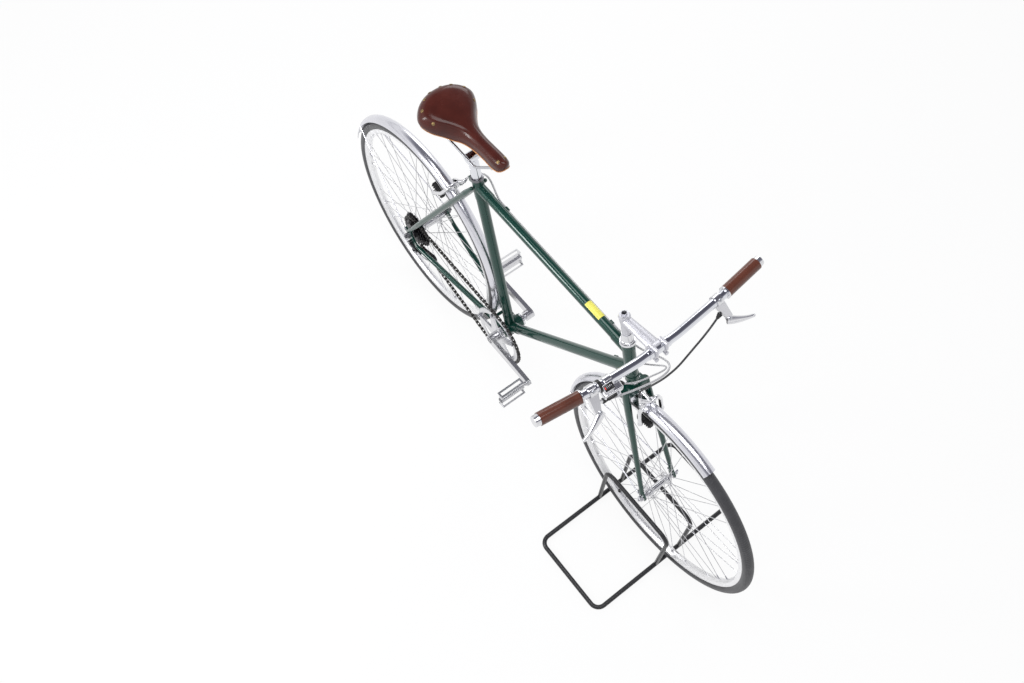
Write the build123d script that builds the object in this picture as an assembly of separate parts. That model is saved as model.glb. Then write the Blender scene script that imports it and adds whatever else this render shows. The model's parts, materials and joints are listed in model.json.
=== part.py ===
"""City bicycle with lugged frame, mudguards, derailleur gears and a floor stand for its front wheel.

Millimetres. +X points forward, +Y to the rider's left, +Z up. The origin is on the floor, midway
between the rearmost and the foremost point of the bicycle and in its middle plane.
"""
import os
from math import acos, asin, atan2, cos, pi, radians, sin, sqrt, tan

from build123d import *

# ---------------------------------------------------------------- wheels
rim_outer = 317.0
rim_depth = 17.0
tyre_height = 25.0            # from the rim's edge to the outside of the tyre
tyre_width = 30.0
rim_width = 21.0
rim_wall = 1.6
spoke_count = 36
spoke_radius = 0.9
nipple_gap = 0.2              # spoke end to the rim's inner face
front_flange_y = 30.0
rear_flange_y = (-27.0, 34.0)  # right flange is drawn in to make room for the sprockets
front_flange_radius = 19.0
rear_flange_radius = 23.0
flange_thickness = 3.0
spoke_crossings = 3
hub_core = (9.0, 13.0)         # front and rear, between the flanges
hub_neck = (8.5, 11.0)         # front and rear, outside them
axle_radius = 4.7
axle_stub = 6.0               # bare end outside each nut
cone_radius = 8.0
nut_thickness = 8.0
washer_thickness = 1.5
bearing_gap = 0.05            # radial clearance of every running fit
front_spacing = 100.0         # between the fork ends
rear_spacing = 130.0          # between the rear dropouts

# ---------------------------------------------------------------- frame geometry
wheelbase = 1040.0
bb_clearance = 65.0           # rear tyre to the bottom bracket's axis
bb_height = 293.0
seat_angle = 73.7
head_angle = 71.5
fork_rake = 50.0
crown_clearance = 13.0        # front mudguard to the crown, along the steering axis
head_stack = 43.0             # underside of the crown to the head tube
head_tube_length = 125.0
top_tube_drop = 25.7          # top tube's axis below the top of the head tube; the tube is level
down_tube_rise = 34.0         # down tube's axis above the foot of the head tube
seat_tube_rise = 26.3         # top of the seat tube above the top tube's axis

head_radius = 15.9
head_bore = 14.4
top_radius = 12.7
down_radius = 14.3
seat_radius = 14.3
seat_bore = 13.65
chainstay_radius = 8.0
chainstay_tip = 6.0
seatstay_radius = 8.0
seatstay_tip = 5.5
bb_radius = 20.5
bb_width = 68.0
bb_bore = 17.2
cup_height = 6.0
lug_wall = 1.4
lug_length = 46.0
lug_scoop = 24.0
braze_gap = 0.1
dropout_thickness = 5.0
eyelet_bore = 2.5
stop_radius = 4.0
wire_radius = 0.8
brake_housing = 2.5
gear_housing = 2.1

# ---------------------------------------------------------------- fork and cockpit
steerer_radius = 12.7
crown_height = 24.0
crown_half_width = 32.0       # blade axis at the crown
crown_offset = 8.0            # blade axis ahead of the steering axis at the crown
crown_depth = 30.0
blade_wide = 12.5
blade_thin = 9.0
blade_tip = 6.0
quill_radius = 11.1
quill_head = 14.5
stem_out = 96.0               # from the head tube to the top of the stem
stem_arm_drop = 17.0
stem_reach = 104.9            # from the steering axis to the handlebar
stem_rise = 21.7
stem_arm = (13.0, 12.0)       # half width and half height at the quill
stem_arm_end = (17.5, 10.5)
clamp_outer = 17.5
clamp_length = 40.0
strap_y = 14.3                # straps that hold the bar at the front of the clamp
strap_width = 6.0
strap_radius = 16.6
strap_bolt = 4.4
bar_radius = 11.1
bar_bulge = 12.7
bar_bend_y = 192.0
bar_bend_back = 9.0
bar_bend_rise = 5.0
bar_end_y = 325.0
bar_end_back = 22.5
bar_end_rise = 15.6
grip_radius = 15.5
grip_start_y = 214.0
grip_end_y = 316.0
grip_cap = (14.0, 12.8)       # radius at the leather and at the end
lever_y = 190.0
lever_reach = 42.0
lever_drop = 29.5
shifter_y = 142.0             # middle of the gear lever's housing
indicator_y = 150.0
shifter_strap_y = 163.0

# ---------------------------------------------------------------- seat
seatpost_radius = 13.6
seatpost_out = 66.0           # bare length above the seat tube
saddle_depth = 72.6           # rails below the top of the saddle
saddle_length = 274.0
saddle_width = 162.0
saddle_nose_x = 338.0
saddle_nose_radius = 15.0     # in plan
saddle_corner_radius = 34.0
rail_radius = 3.5
rail_half_gap = 21.0
leather = 5.0

# ---------------------------------------------------------------- drive
chain_pitch = 12.7
ring_teeth = 48
sprocket_teeth = (28, 26, 24, 20, 16)
chain_sprocket = 2            # index of the sprocket that carries the chain
sprocket_pitch = 4.8
largest_sprocket_y = -36.4
sprocket_thickness = 1.8
ring_thickness = 2.4
ring_band = 15.0              # radial width of the ring behind its teeth
spider_thickness = 6.0
plate_height = 4.1            # half height of a chain link at its pin
waist_height = 2.9
chain_width = 6.4
tooth_clearance = 0.5
pulley_teeth = 10
pulley_thickness = 3.0
guide_pulley = (33.0, 273.5)  # ahead of the rear axle, above the floor
tension_pulley = (88.0, 297.0)
crank_length = 170.0
crank_thickness = 12.0
crank_outer_y = 78.0
crank_boss = (52.0, 53.6)      # inner end of the left and right boss
spindle_radius = 8.5
pedal_inner_y = 90.0
pedal_outer_y = 168.0
pedal_length = 53.0
pedal_height = 22.0
pedal_barrel = 9.0
cage_wall = 3.0
cage_rim = 5.0                # width of the band round the cage's window
pedal_pitch = (80.0, 70.0)    # right and left, front edge down
pedal_axle_radius = 4.5

# ---------------------------------------------------------------- mudguards and brakes
mudguard_clearance = 14.0     # tyre to the outside of the mudguard
mudguard_profile = 19.0       # radius of the mudguard's cross-section
mudguard_wall = 1.2
rear_mudguard = (-3.0, 166.5)  # start and end angle, measured up from straight ahead
front_mudguard = (72.0, 190.0)
stay_radius = 1.8
brake_gap = 3.0               # pad to rim
brake_arm = 5.5
pivot_rise = 22.0             # brake pivot above the mudguard
pad_drop = 5.5                # pad's middle below the edge of the rim
pad_length = 46.0
pad_height = 12.0
pad_thickness = 14.0
pad_stud = 3.6
rear_brake = (66.5, 71.5)     # angle of the pivot and of the pads, up from straight ahead
front_brake = (107.5, 107.5)

# ---------------------------------------------------------------- stand
stand_tube = 6.5
stand_x = (905.0, 1158.0)
stand_y = (-266.0, 246.0)
stand_corner = 26.0
hoop_y = (-43.0, 45.0)
hoop_height = 226.0
hoop_corner = 32.0

# ---------------------------------------------------------------- derived places
wheel_radius = rim_outer + tyre_height
rim_inner = rim_outer - rim_depth
mudguard_apex = wheel_radius + mudguard_clearance
pad_radius = rim_outer - pad_drop
bb_x = wheel_radius + bb_clearance
back_reach = max(wheel_radius, mudguard_apex * -cos(radians(rear_mudguard[1])))
rear_x = -(wheelbase + wheel_radius - back_reach) / 2
front_x = rear_x + wheelbase
rear_axle_at = Vector(rear_x, 0, wheel_radius)
front_axle_at = Vector(front_x, 0, wheel_radius)
bb_at = Vector(rear_x + bb_x, 0, bb_height)
seat_dir = Vector(-cos(radians(seat_angle)), 0, sin(radians(seat_angle)))
head_dir = Vector(-cos(radians(head_angle)), 0, sin(radians(head_angle)))
head_front = Vector(sin(radians(head_angle)), 0, cos(radians(head_angle)))
axis_foot = front_axle_at - head_front * fork_rake
chain_y = largest_sprocket_y - chain_sprocket * sprocket_pitch
side_y = Vector(0, 1, 0)
crown_low = mudguard_apex + crown_clearance
head_tube_low = crown_low + head_stack
head_tube_high = head_tube_low + head_tube_length
down_tube_at = head_tube_low + down_tube_rise
head_top_at = head_tube_high - top_tube_drop
top_tube_height = axis_foot.Z + head_top_at * head_dir.Z
seat_top_at = (top_tube_height - bb_height) / seat_dir.Z
seat_tube_top = seat_top_at + seat_tube_rise
seatpost_top = seat_tube_top + seatpost_out
stem_top = head_tube_high + stem_out


def on_head(t, forward=0.0, y=0.0):
    """Point t along the steering axis, moved forward square to it and sideways."""
    return axis_foot + head_dir * t + head_front * forward + side_y * y


def on_seat(t, forward=0.0, y=0.0):
    front = Vector(sin(radians(seat_angle)), 0, cos(radians(seat_angle)))
    return bb_at + seat_dir * t + front * forward + side_y * y


def bike(x, y, z):
    """Point given ahead of the rear axle, to the left and above the floor."""
    return Vector(rear_x + x, y, z)


def pitch_radius(teeth):
    return chain_pitch / (2 * sin(pi / teeth))


# ---------------------------------------------------------------- shape helpers
def rod(a, b, r, r_end=None):
    """Round bar from a to b, tapered when r_end is given."""
    plane = Plane(origin=a, z_dir=b - a)
    low = (Align.CENTER, Align.CENTER, Align.MIN)
    if r_end is None:
        return plane * Cylinder(r, (b - a).length, align=low)
    return plane * Cone(r, r_end, (b - a).length, align=low)


def disc(centre, r, thickness, bore=0.0):
    """Disc square to Y, centred on centre."""
    plane = Plane(origin=centre, z_dir=(0, 1, 0))
    body = plane * Cylinder(r, thickness)
    if bore:
        body -= plane * Cylinder(bore, thickness * 2)
    return body


def bent_tube(points, r, bend, closed=False):
    """Round bar along straight runs joined by tangent arcs."""
    path = FilletPolyline(*points, radius=bend, close=closed)
    start = Plane(origin=path @ 0, z_dir=path % 0)
    return sweep(start * Circle(r), path=path)


def plate(outline, y, thickness):
    """Flat plate square to Y from an outline of (x, z) points or a sketch drawn on XZ."""
    face = make_face(Polyline(*[(x, z) for x, z in outline], close=True))
    plane = Plane(origin=(0, y, 0), x_dir=(1, 0, 0), z_dir=(0, -1, 0))
    return extrude(plane * face, thickness / 2, both=True)


def link_plate(a, b, ra, rb, y, thickness):
    """Plate square to Y with round ends about the (x, z) points a and b."""
    plane = Plane(origin=(0, y, 0), x_dir=(1, 0, 0), z_dir=(0, -1, 0))
    length = sqrt((b[0] - a[0]) ** 2 + (b[1] - a[1]) ** 2)
    heading = atan2(b[1] - a[1], b[0] - a[0])
    lean = acos((ra - rb) / length)

    def on_rim(c, r, angle):
        return (c[0] + r * cos(angle), c[1] + r * sin(angle))

    a1, b1 = on_rim(a, ra, heading + lean), on_rim(b, rb, heading + lean)
    a2, b2 = on_rim(a, ra, heading - lean), on_rim(b, rb, heading - lean)
    outline = [Line(a1, b1), ThreePointArc(b1, on_rim(b, rb, heading), b2), Line(b2, a2),
               ThreePointArc(a2, on_rim(a, ra, heading + pi), a1)]
    return extrude(plane * make_face(outline), thickness / 2, both=True)


def gear(centre, y, teeth, tip, root, thickness, bore):
    """Toothed disc square to Y: two points at each tooth's tip and two at its root."""
    points = []
    for i in range(teeth):
        for share, r in ((-0.30, root), (-0.13, tip), (0.13, tip), (0.30, root)):
            angle = 2 * pi * (i + share) / teeth
            points.append((centre[0] + r * cos(angle), centre[1] + r * sin(angle)))
    body = plate(points, y, thickness)
    return body - disc((centre[0], y, centre[1]), bore, thickness * 2)


# ---------------------------------------------------------------- frame
def top_stop(x):
    """Point on the line of the brake wire, on the left of the top tube."""
    return bike(x, top_radius + stop_radius - 0.2, top_tube_height - 3)


def down_stop(back):
    """Point on the line of the gear wire, on the left of the down tube, back from its head end."""
    return down_head_end - down_dir * back + side_y * (down_radius + stop_radius - 0.4)


top_seat_end = on_seat(seat_top_at)
top_head_end = on_head(head_top_at)
down_head_end = on_head(down_tube_at)
tube_dir = (top_head_end - top_seat_end).normalized()
down_dir = (down_head_end - bb_at).normalized()
top_lug_seat = seat_radius + 6.0
top_lug_head = head_radius + 6.0
down_lug_head = head_radius + 9.0
shell_socket = bb_radius + 6.0
rear_eye_y = rear_spacing / 2 + dropout_thickness / 2
stay_out_y = rear_spacing / 2 + dropout_thickness / 2


def lug(start, direction, socket_at, tube_r):
    """Sleeve from start along direction, scooped at both sides to a point above and below, and its socket."""
    end = start + direction * (socket_at + lug_length)
    sleeve = rod(start, end, tube_r + lug_wall)
    for side in (1, -1):
        centre = end + direction * 4 + side_y * side * (tube_r + lug_wall + 5)
        sleeve -= Plane(origin=centre, z_dir=direction.cross(side_y)) * Cylinder(lug_scoop, 6 * tube_r)
    socket = rod(start + direction * socket_at, end + direction * 5, tube_r + braze_gap)
    return sleeve, socket


def head_tube():
    body = rod(on_head(head_tube_low), on_head(head_tube_high), head_radius)
    collar = head_radius + lug_wall
    body += rod(on_head(head_tube_low), on_head(head_tube_low + 14), collar)
    body += rod(on_head(head_tube_high - 12), on_head(head_tube_high), collar)
    top, top_socket = lug(top_head_end, tube_dir * -1, top_lug_head, top_radius)
    down, down_socket = lug(down_head_end, down_dir * -1, down_lug_head, down_radius)
    body = body + top + down - top_socket - down_socket
    return body - rod(on_head(head_tube_low - 30), on_head(head_tube_high + 30), head_bore)


def cable_stop(start, end):
    """Brazed-on boss that a housing ends against, drilled for the wire from start to end."""
    way = (end - start).normalized()
    return rod(start, end, stop_radius), rod(start - way * 2, end + way * 2, wire_radius + 0.3)


def top_tube():
    body = rod(top_seat_end + tube_dir * (top_lug_seat + braze_gap),
               top_head_end - tube_dir * (top_lug_head + braze_gap), top_radius)
    front, front_bore = cable_stop(top_stop(745.0), top_stop(756.7))
    back, back_bore = cable_stop(top_stop(345.0), top_stop(356.7))
    return body + front + back - front_bore - back_bore


def down_tube():
    body = rod(bb_at + down_dir * (shell_socket + braze_gap),
               down_head_end - down_dir * (down_lug_head + braze_gap), down_radius)
    stop, bore = cable_stop(down_stop(97.0), down_stop(85.3))
    return body + stop - bore


def seat_tube():
    body = rod(on_seat(shell_socket + braze_gap), on_seat(seat_tube_top), seat_radius)
    body += rod(on_seat(seat_top_at - 34), on_seat(seat_tube_top), seat_radius + lug_wall)
    top, socket = lug(top_seat_end, tube_dir, top_lug_seat, top_radius)
    body += top
    ear = on_seat(seat_tube_top - 9, -seat_radius - 5)
    body += Plane(origin=ear, x_dir=(1, 0, 0), z_dir=seat_dir) * Box(14, 20, 14)
    body -= socket
    slit = on_seat(seat_tube_top, -seat_radius - 8)
    body -= Plane(origin=slit, x_dir=(1, 0, 0), z_dir=seat_dir) * Box(22, 2.4, 60)
    return body - rod(on_seat(seat_tube_top - 150), on_seat(seat_tube_top + 5), seat_bore)


def chainstay_points(side):
    y_out = side * stay_out_y
    return [bb_at + Vector(-22, side * 23, 0), bb_at + Vector(-92, side * 30, 3),
            Vector(rear_x + 34, y_out, wheel_radius - 22)]


def stay_stop(share):
    """Point on the line of the gear wire, under the right chainstay."""
    _, b, c = chainstay_points(-1)
    return b + (c - b) * share - Vector(0, 0, chainstay_radius + stop_radius - 0.6)


def bottom_bracket_shell():
    body = disc(bb_at, bb_radius, bb_width)
    sockets = []
    for direction, r in ((seat_dir, seat_radius), (down_dir, down_radius)):
        sleeve, socket = lug(bb_at, direction, shell_socket, r)
        body += sleeve
        sockets.append(socket)
    for side in (1, -1):
        a, b, _ = chainstay_points(side)
        out = (b - a).normalized()
        body += rod(a - out * 6, a + out * 20, chainstay_radius + lug_wall)
        sockets.append(rod(a, a + out * 60, chainstay_radius + braze_gap))
    for socket in sockets:
        body -= socket
    return body - disc(bb_at, bb_bore, bb_width * 2)


def bottom_bracket_cups():
    """Ribbed bearing cups screwed into both ends of the shell."""
    cups = []
    for side in (1, -1):
        inner = bb_at + side_y * side * (bb_width / 2 - 12)
        face = bb_at + side_y * side * (bb_width / 2 + 0.1)
        cup = rod(inner, face, bb_bore - braze_gap) + rod(face, face + side_y * side * cup_height, bb_radius - 1)
        for i in range(8):
            angle = 2 * pi * i / 8
            notch = face + Vector(cos(angle), 0, sin(angle)) * (bb_radius - 1) + side_y * side * cup_height / 2
            cup -= disc(notch, 2.2, cup_height)
        cups.append(cup - disc(bb_at, spindle_radius + bearing_gap, bb_width * 2))
    return cups


tab_radius = 7.0


def seatstay_low(side):
    """Lower end of the seat stay's axis."""
    return Vector(rear_x + 10, side * stay_out_y, wheel_radius + 36)


def seatstay_high(side):
    return on_seat(seat_top_at + 5, -2, side * (seat_radius + lug_wall + seatstay_tip + 0.5))


def seatstay_tab():
    """Centre of the dropout's upper tab, just short of the seat stay's lower end."""
    low, high = seatstay_low(1), seatstay_high(1)
    way = Vector(high.X - low.X, 0, high.Z - low.Z).normalized()
    centre = low - way * (tab_radius + 1.4)
    return (centre.X, centre.Z)


def dropout(side):
    """Rear end: plate that joins both stays and holds the axle in a slot open to the back."""
    y = side * rear_eye_y
    axle = (rear_x, wheel_radius)
    body = link_plate(axle, (rear_x + 40, wheel_radius - 23), 15, 8, y, dropout_thickness)
    body += link_plate(axle, seatstay_tab(), 13, tab_radius, y, dropout_thickness)
    body += link_plate(axle, (rear_x - 15, wheel_radius + 15), 9, 5.5, y, dropout_thickness)
    if side < 0:
        body += link_plate(axle, (rear_x + 9, wheel_radius - 27), 12, 8, y, dropout_thickness)
    slot = Plane(origin=(rear_x - 12, y, wheel_radius - 4), x_dir=(3, 0, 1), z_dir=(0, 1, 0))
    body -= disc((axle[0], y, axle[1]), axle_radius + 0.3, dropout_thickness * 2)
    body -= slot * Box(26, 2 * axle_radius + 0.6, dropout_thickness * 2)
    body -= disc((rear_x - 15, y, wheel_radius + 15), eyelet_bore, dropout_thickness * 2)
    return body


def chainstay(side):
    a, b, c = chainstay_points(side)
    gap = (b - a).normalized() * braze_gap
    body = bent_tube([a + gap, b, b + (c - b) * 0.75], chainstay_radius, 160)
    body += rod(b + (c - b) * 0.75, c, chainstay_radius, chainstay_tip)
    body += dropout(side)
    if side < 0:
        stop, bore = cable_stop(stay_stop(0.66), stay_stop(0.70))
        body = body + stop - bore
    return body


def seatstay(side):
    low, top = seatstay_low(side), seatstay_high(side)
    way = (top - low).normalized()
    length = (top - low).length
    body = rod(low, low + way * 70, seatstay_tip, seatstay_radius)
    body += rod(low + way * 70, low + way * (length - 40), seatstay_radius)
    body += rod(low + way * (length - 40), top, seatstay_radius, seatstay_tip)
    return body + Pos(*top) * Sphere(seatstay_tip)


def stay_line(side, distance):
    """Point on the seat stay's axis at a distance from the rear axle, in the side view."""
    low, top = seatstay_low(side), seatstay_high(side)
    share = 0.0
    for step in range(1000):
        share = step / 1000
        p = low + (top - low) * share
        if sqrt((p.X - rear_x) ** 2 + (p.Z - wheel_radius) ** 2) >= distance:
            break
    return low + (top - low) * share


brake_bridge_r = mudguard_apex + 9.0
bridge_radius = 5.0


def stay_bridges():
    """Brake bridge between the seat stays and the short bridge between the chainstays."""
    left, right = stay_line(1, brake_bridge_r), stay_line(-1, brake_bridge_r)
    high = rod(left, right, bridge_radius)
    high += disc((left + right) * 0.5, 8, 16)
    low_at = bb_at + Vector(-52, 0, 1.5)
    low = rod(low_at + side_y * 26, low_at - side_y * 26, bridge_radius)
    for side in (1, -1):
        a, b, _ = chainstay_points(side)
        foot, top = seatstay_low(side), seatstay_high(side)
        high -= rod(foot, top, seatstay_radius + braze_gap)
        low -= rod(a, b + (b - a) * 0.2, chainstay_radius + braze_gap)
    return [high, low]


def headset_cups():
    """Pressed cups at both ends of the head tube, with the lower crown race."""
    upper = rod(on_head(head_tube_high + braze_gap), on_head(head_tube_high + 3.5), 17.0, 19.5)
    upper += rod(on_head(head_tube_high + 3.5), on_head(head_tube_high + 9), 20.0, 19.0)
    lower = rod(on_head(head_tube_low - braze_gap), on_head(head_tube_low - 9), 18.0, 17.0)
    bore = rod(on_head(head_tube_low - 40), on_head(head_tube_high + 40), steerer_radius + bearing_gap)
    return [upper - bore, lower - bore]


# ---------------------------------------------------------------- seat
def seatpost():
    body = rod(on_seat(seat_tube_top - 110), on_seat(seatpost_top - 14), seatpost_radius)
    body += rod(on_seat(seatpost_top - 14), on_seat(seatpost_top), seatpost_radius, 11)
    head = on_seat(seatpost_top + 6)
    body += disc(head, 14, 34)
    return body


rail_height = on_seat(seatpost_top + 6).Z + 14
saddle_top = rail_height + saddle_depth

# Share of the length from the nose, half width and depth of each section.
saddle_stations = ((0.0, 16, 24), (0.10, 20, 34), (0.30, 22.5, 44), (0.50, 30, 48), (0.70, 57, 50),
                   (0.88, 80, 46), (1.0, 74, 34))


def saddle_skin(inset):
    """Lofted saddle body. The inset pulls it in all round and lets it out of the bottom."""
    sections = []
    for share, half, depth in saddle_stations:
        ends = inset * (1 - 2 * share)
        x = rear_x + saddle_nose_x - saddle_length * share - ends
        top = saddle_top - 8 * sin(pi * min(share * 1.15, 1.0)) - inset
        wide, high = half - inset, depth
        plane = Plane(origin=(x, 0, top - high), x_dir=(0, 1, 0), z_dir=(1, 0, 0))
        crown = Spline((wide, 0), (wide * 0.78, high * 0.78), (0, high), (-wide * 0.78, high * 0.78), (-wide, 0))
        sections.append(plane * make_face(Polyline((-wide, 0), (wide, 0)) + crown))
    return loft(sections) & saddle_plan(inset)


def saddle_plan(inset):
    """Block with the saddle's rounded nose and rear corners, seen from above."""
    nose = Pos(rear_x + saddle_nose_x - saddle_nose_radius, 0) * Circle(saddle_nose_radius - inset)
    corner_x = rear_x + saddle_nose_x - saddle_length + saddle_corner_radius
    corners = []
    for side in (1, -1):
        corner_y = side * (saddle_width / 2 - saddle_corner_radius)
        corners.append(Pos(corner_x, corner_y) * Circle(saddle_corner_radius - inset))
    outline = make_hull([edge for circle in [nose] + corners for edge in circle.edges()])
    return extrude(Pos(0, 0, saddle_top - 150) * outline, 200)


def saddle_cover():
    """Leather top, open below."""
    return saddle_skin(0) - saddle_skin(leather)


def saddle_frame():
    """Two steel rails from the rear arch to the nose, and the arch that carries the leather."""
    parts = None
    nose = bike(saddle_nose_x - 22, 0, saddle_top - 34)
    for side in (1, -1):
        points = [nose + side_y * side * 7, bike(saddle_nose_x - 70, side * rail_half_gap, rail_height),
                  bike(saddle_nose_x - 175, side * rail_half_gap, rail_height),
                  bike(saddle_nose_x - 240, side * 34, saddle_top - 58)]
        rail = bent_tube(points, rail_radius, 22)
        parts = rail if parts is None else parts + rail
    parts += rod(nose + side_y * 10, nose - side_y * 10, 5.5)
    arch = bike(saddle_nose_x - 240, 0, saddle_top - 58)
    parts += rod(arch + side_y * 52, arch - side_y * 52, 5)
    return parts


# ---------------------------------------------------------------- wheels
def wheel_profile_spin(centre, points):
    """Turn a closed outline of (radius, y) points about the wheel's axle."""
    face = make_face(Polyline(*points, close=True))
    plane = Plane(origin=centre, x_dir=(1, 0, 0), z_dir=(0, 0, -1))
    return revolve(plane * face, axis=Axis(centre, (0, 1, 0)))


def rim(centre):
    w, wall = rim_width / 2, rim_wall
    bed = rim_outer - 5
    points = [(rim_inner, -w * 0.35), (rim_inner + 5, -w), (rim_outer, -w), (rim_outer, -w + wall),
              (bed, -w + wall + 0.6), (bed - 1.5, 0), (bed, w - wall - 0.6), (rim_outer, w - wall),
              (rim_outer, w), (rim_inner + 5, w), (rim_inner, w * 0.35)]
    return wheel_profile_spin(centre, points)


def tyre(centre):
    """Tyre section: a round case that stands on the rim's edges, with its bead between them."""
    r = tyre_width / 2
    mid = wheel_radius - r
    base = rim_outer + 0.3
    half = rim_width / 2 - rim_wall - 0.4
    edge = sqrt(r * r - (mid - base) ** 2)
    plane = Plane(origin=centre, x_dir=(1, 0, 0), z_dir=(0, 0, -1))
    outline = [ThreePointArc((base, -edge), (wheel_radius, 0), (base, edge)), Line((base, edge), (base, half)),
               Line((base, half), (base - 4, half - 0.8)), Line((base - 4, half - 0.8), (base - 4, -half + 0.8)),
               Line((base - 4, -half + 0.8), (base, -half)), Line((base, -half), (base, -edge))]
    return revolve(plane * make_face(outline), axis=Axis(centre, (0, 1, 0)))


def hub(centre, flange_y, core, neck, flange_r, ends):
    """Turned shell with two flanges, bored for the axle."""
    body = rod(centre + side_y * ends[0], centre + side_y * ends[1], neck)
    body += rod(centre + side_y * flange_y[0], centre + side_y * flange_y[1], core)
    for y in flange_y:
        body += disc(centre + side_y * y, flange_r, flange_thickness)
        inward = -1 if y > 0 else 1
        body += rod(centre + side_y * y, centre + side_y * (y + inward * 9), flange_r - 5, core)
    return body - rod(centre + side_y * (ends[0] - 1), centre + side_y * (ends[1] + 1), axle_radius + bearing_gap)


def spokes(centre, flange_y, flange_r):
    """Crossed spokes. Each leaves one face of its flange and ends under the rim."""
    per_flange = spoke_count // 2
    seat = flange_r - 1.2
    end_r = rim_inner - nipple_gap
    bars = []
    for flange, y in enumerate(flange_y):
        for i in range(per_flange):
            face = 1 if i % 2 else -1
            hole = 2 * pi * (i + 0.5 * flange) / per_flange
            swing = face * spoke_crossings * 2 * pi / per_flange * 1.08
            root_y = y + face * (flange_thickness / 2 + spoke_radius + 0.6)
            tip_y = (1 if y > 0 else -1) * 2.0 + face * 0.7
            a = centre + Vector(seat * cos(hole), root_y, seat * sin(hole))
            b = centre + Vector(end_r * cos(hole + swing), tip_y, end_r * sin(hole + swing))
            bars.append(rod(a, b, spoke_radius))
    return bars


def axle(centre, spacing, hub_ends):
    """Axle with its bearing cones, and a washer and nut outside each fork end."""
    half = spacing / 2
    nut_at = half + dropout_thickness + washer_thickness + 0.1
    reach = nut_at + nut_thickness + axle_stub
    body = rod(centre - side_y * reach, centre + side_y * reach, axle_radius)
    for side, hub_end in ((-1, hub_ends[0]), (1, hub_ends[1])):
        body += rod(centre + side_y * (hub_end + side * 0.5), centre + side_y * side * (half - 0.1), cone_radius)
        body += disc(centre + side_y * side * (nut_at - washer_thickness / 2), 9.5, washer_thickness)
        plane = Plane(origin=centre + side_y * side * nut_at, z_dir=(0, side, 0))
        body += extrude(plane * RegularPolygon(9, 6), nut_thickness)
    return body


# ---------------------------------------------------------------- chain
ring_centre = (rear_x + bb_x, bb_height)
sprocket_centre = (rear_x, wheel_radius)
tension_centre = (rear_x + tension_pulley[0], tension_pulley[1])
guide_centre = (rear_x + guide_pulley[0], guide_pulley[1])


def chain_route():
    """Circles the chain goes round, in its running order, with the way it turns on each."""
    return [(sprocket_centre, pitch_radius(sprocket_teeth[chain_sprocket]), 1),
            (ring_centre, pitch_radius(ring_teeth), 1),
            (tension_centre, pitch_radius(pulley_teeth), 1),
            (guide_centre, pitch_radius(pulley_teeth), -1)]


def chain_pins():
    """Pin positions and outward directions at even pitch along the closed loop."""
    route = chain_route()
    spans = []
    for i, (c, r, s) in enumerate(route):
        d, q, t = route[(i + 1) % len(route)]
        dx, dz = d[0] - c[0], d[1] - c[1]
        length = sqrt(dx * dx + dz * dz)
        heading = atan2(dz, dx) - asin((r * s - q * t) / length)
        left = (-sin(heading), cos(heading))
        spans.append((heading, (c[0] + r * s * left[0], c[1] + r * s * left[1]),
                      (d[0] + q * t * left[0], d[1] + q * t * left[1])))
    pieces = []
    for i, (c, r, s) in enumerate(route):
        heading, start, end = spans[i]
        before = spans[i - 1][0]
        turn = (before - heading) * s % (2 * pi)
        pieces.append(("arc", c, r, s, before, turn, r * turn))
        run = sqrt((end[0] - start[0]) ** 2 + (end[1] - start[1]) ** 2)
        pieces.append(("run", start, heading, run))
    total = sum(piece[-1] for piece in pieces)
    count = 2 * round(total / chain_pitch / 2)
    step = total / count
    found = []
    for i in range(count * 3):
        at = i * step / 3
        for piece in pieces:
            if at <= piece[-1] + 1e-9:
                break
            at -= piece[-1]
        if piece[0] == "arc":
            _, c, r, s, before, turn, _ = piece
            heading = before - s * at / r
            left = (-sin(heading), cos(heading))
            point = (c[0] + r * s * left[0], c[1] + r * s * left[1])
        else:
            _, start, heading, _ = piece
            left = (-sin(heading), cos(heading))
            point = (start[0] + at * cos(heading), start[1] + at * sin(heading))
        found.append((point, left))
    return found


def chain():
    """Closed roller chain, its sides waisted between the pins."""
    outer, inner = [], []
    for i, (point, left) in enumerate(chain_pins()):
        height = (plate_height, waist_height + 0.6, waist_height + 0.6)[i % 3]
        outer.append((point[0] + left[0] * height, point[1] + left[1] * height))
        inner.append((point[0] - left[0] * height, point[1] - left[1] * height))
    return plate(outer, chain_y, chain_width) - plate(inner, chain_y, chain_width * 2)


# ---------------------------------------------------------------- drive
def tooth_radii(teeth, carries_chain):
    r = pitch_radius(teeth)
    if carries_chain:
        tip = r - plate_height - tooth_clearance
        return tip, tip - 2.5
    return r + 2.2, r - 3.0


def cassette():
    body = rod(rear_axle_at + side_y * (largest_sprocket_y + 2.2), rear_axle_at + side_y * -59.5, 17.5)
    for i, teeth in enumerate(sprocket_teeth):
        tip, root = tooth_radii(teeth, i == chain_sprocket)
        body += gear(sprocket_centre, largest_sprocket_y - i * sprocket_pitch, teeth, tip, root,
                     sprocket_thickness, hub_neck[1])
    return body - rod(rear_axle_at, rear_axle_at - side_y * 80, hub_neck[1] + bearing_gap)


def chainrings():
    """Single ring on a five-armed spider."""
    outer_tip, outer_root = tooth_radii(ring_teeth, True)
    body = gear(ring_centre, chain_y, ring_teeth, outer_tip, outer_root, ring_thickness, outer_root - ring_band)
    arm_y = chain_y - ring_thickness / 2 - spider_thickness / 2
    bolt_r = outer_root - ring_band / 2
    for i in range(5):
        angle = 2 * pi * i / 5 + pi / 5
        tip = (ring_centre[0] + bolt_r * cos(angle), ring_centre[1] + bolt_r * sin(angle))
        body += link_plate(ring_centre, tip, 19, 7, arm_y, spider_thickness)
        body += disc((tip[0], chain_y + 0.6, tip[1]), 5, ring_thickness + 2)
    body += disc((ring_centre[0], arm_y, ring_centre[1]), 24, spider_thickness)
    return body - disc(bb_at, spindle_radius + 0.2, 200)


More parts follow.
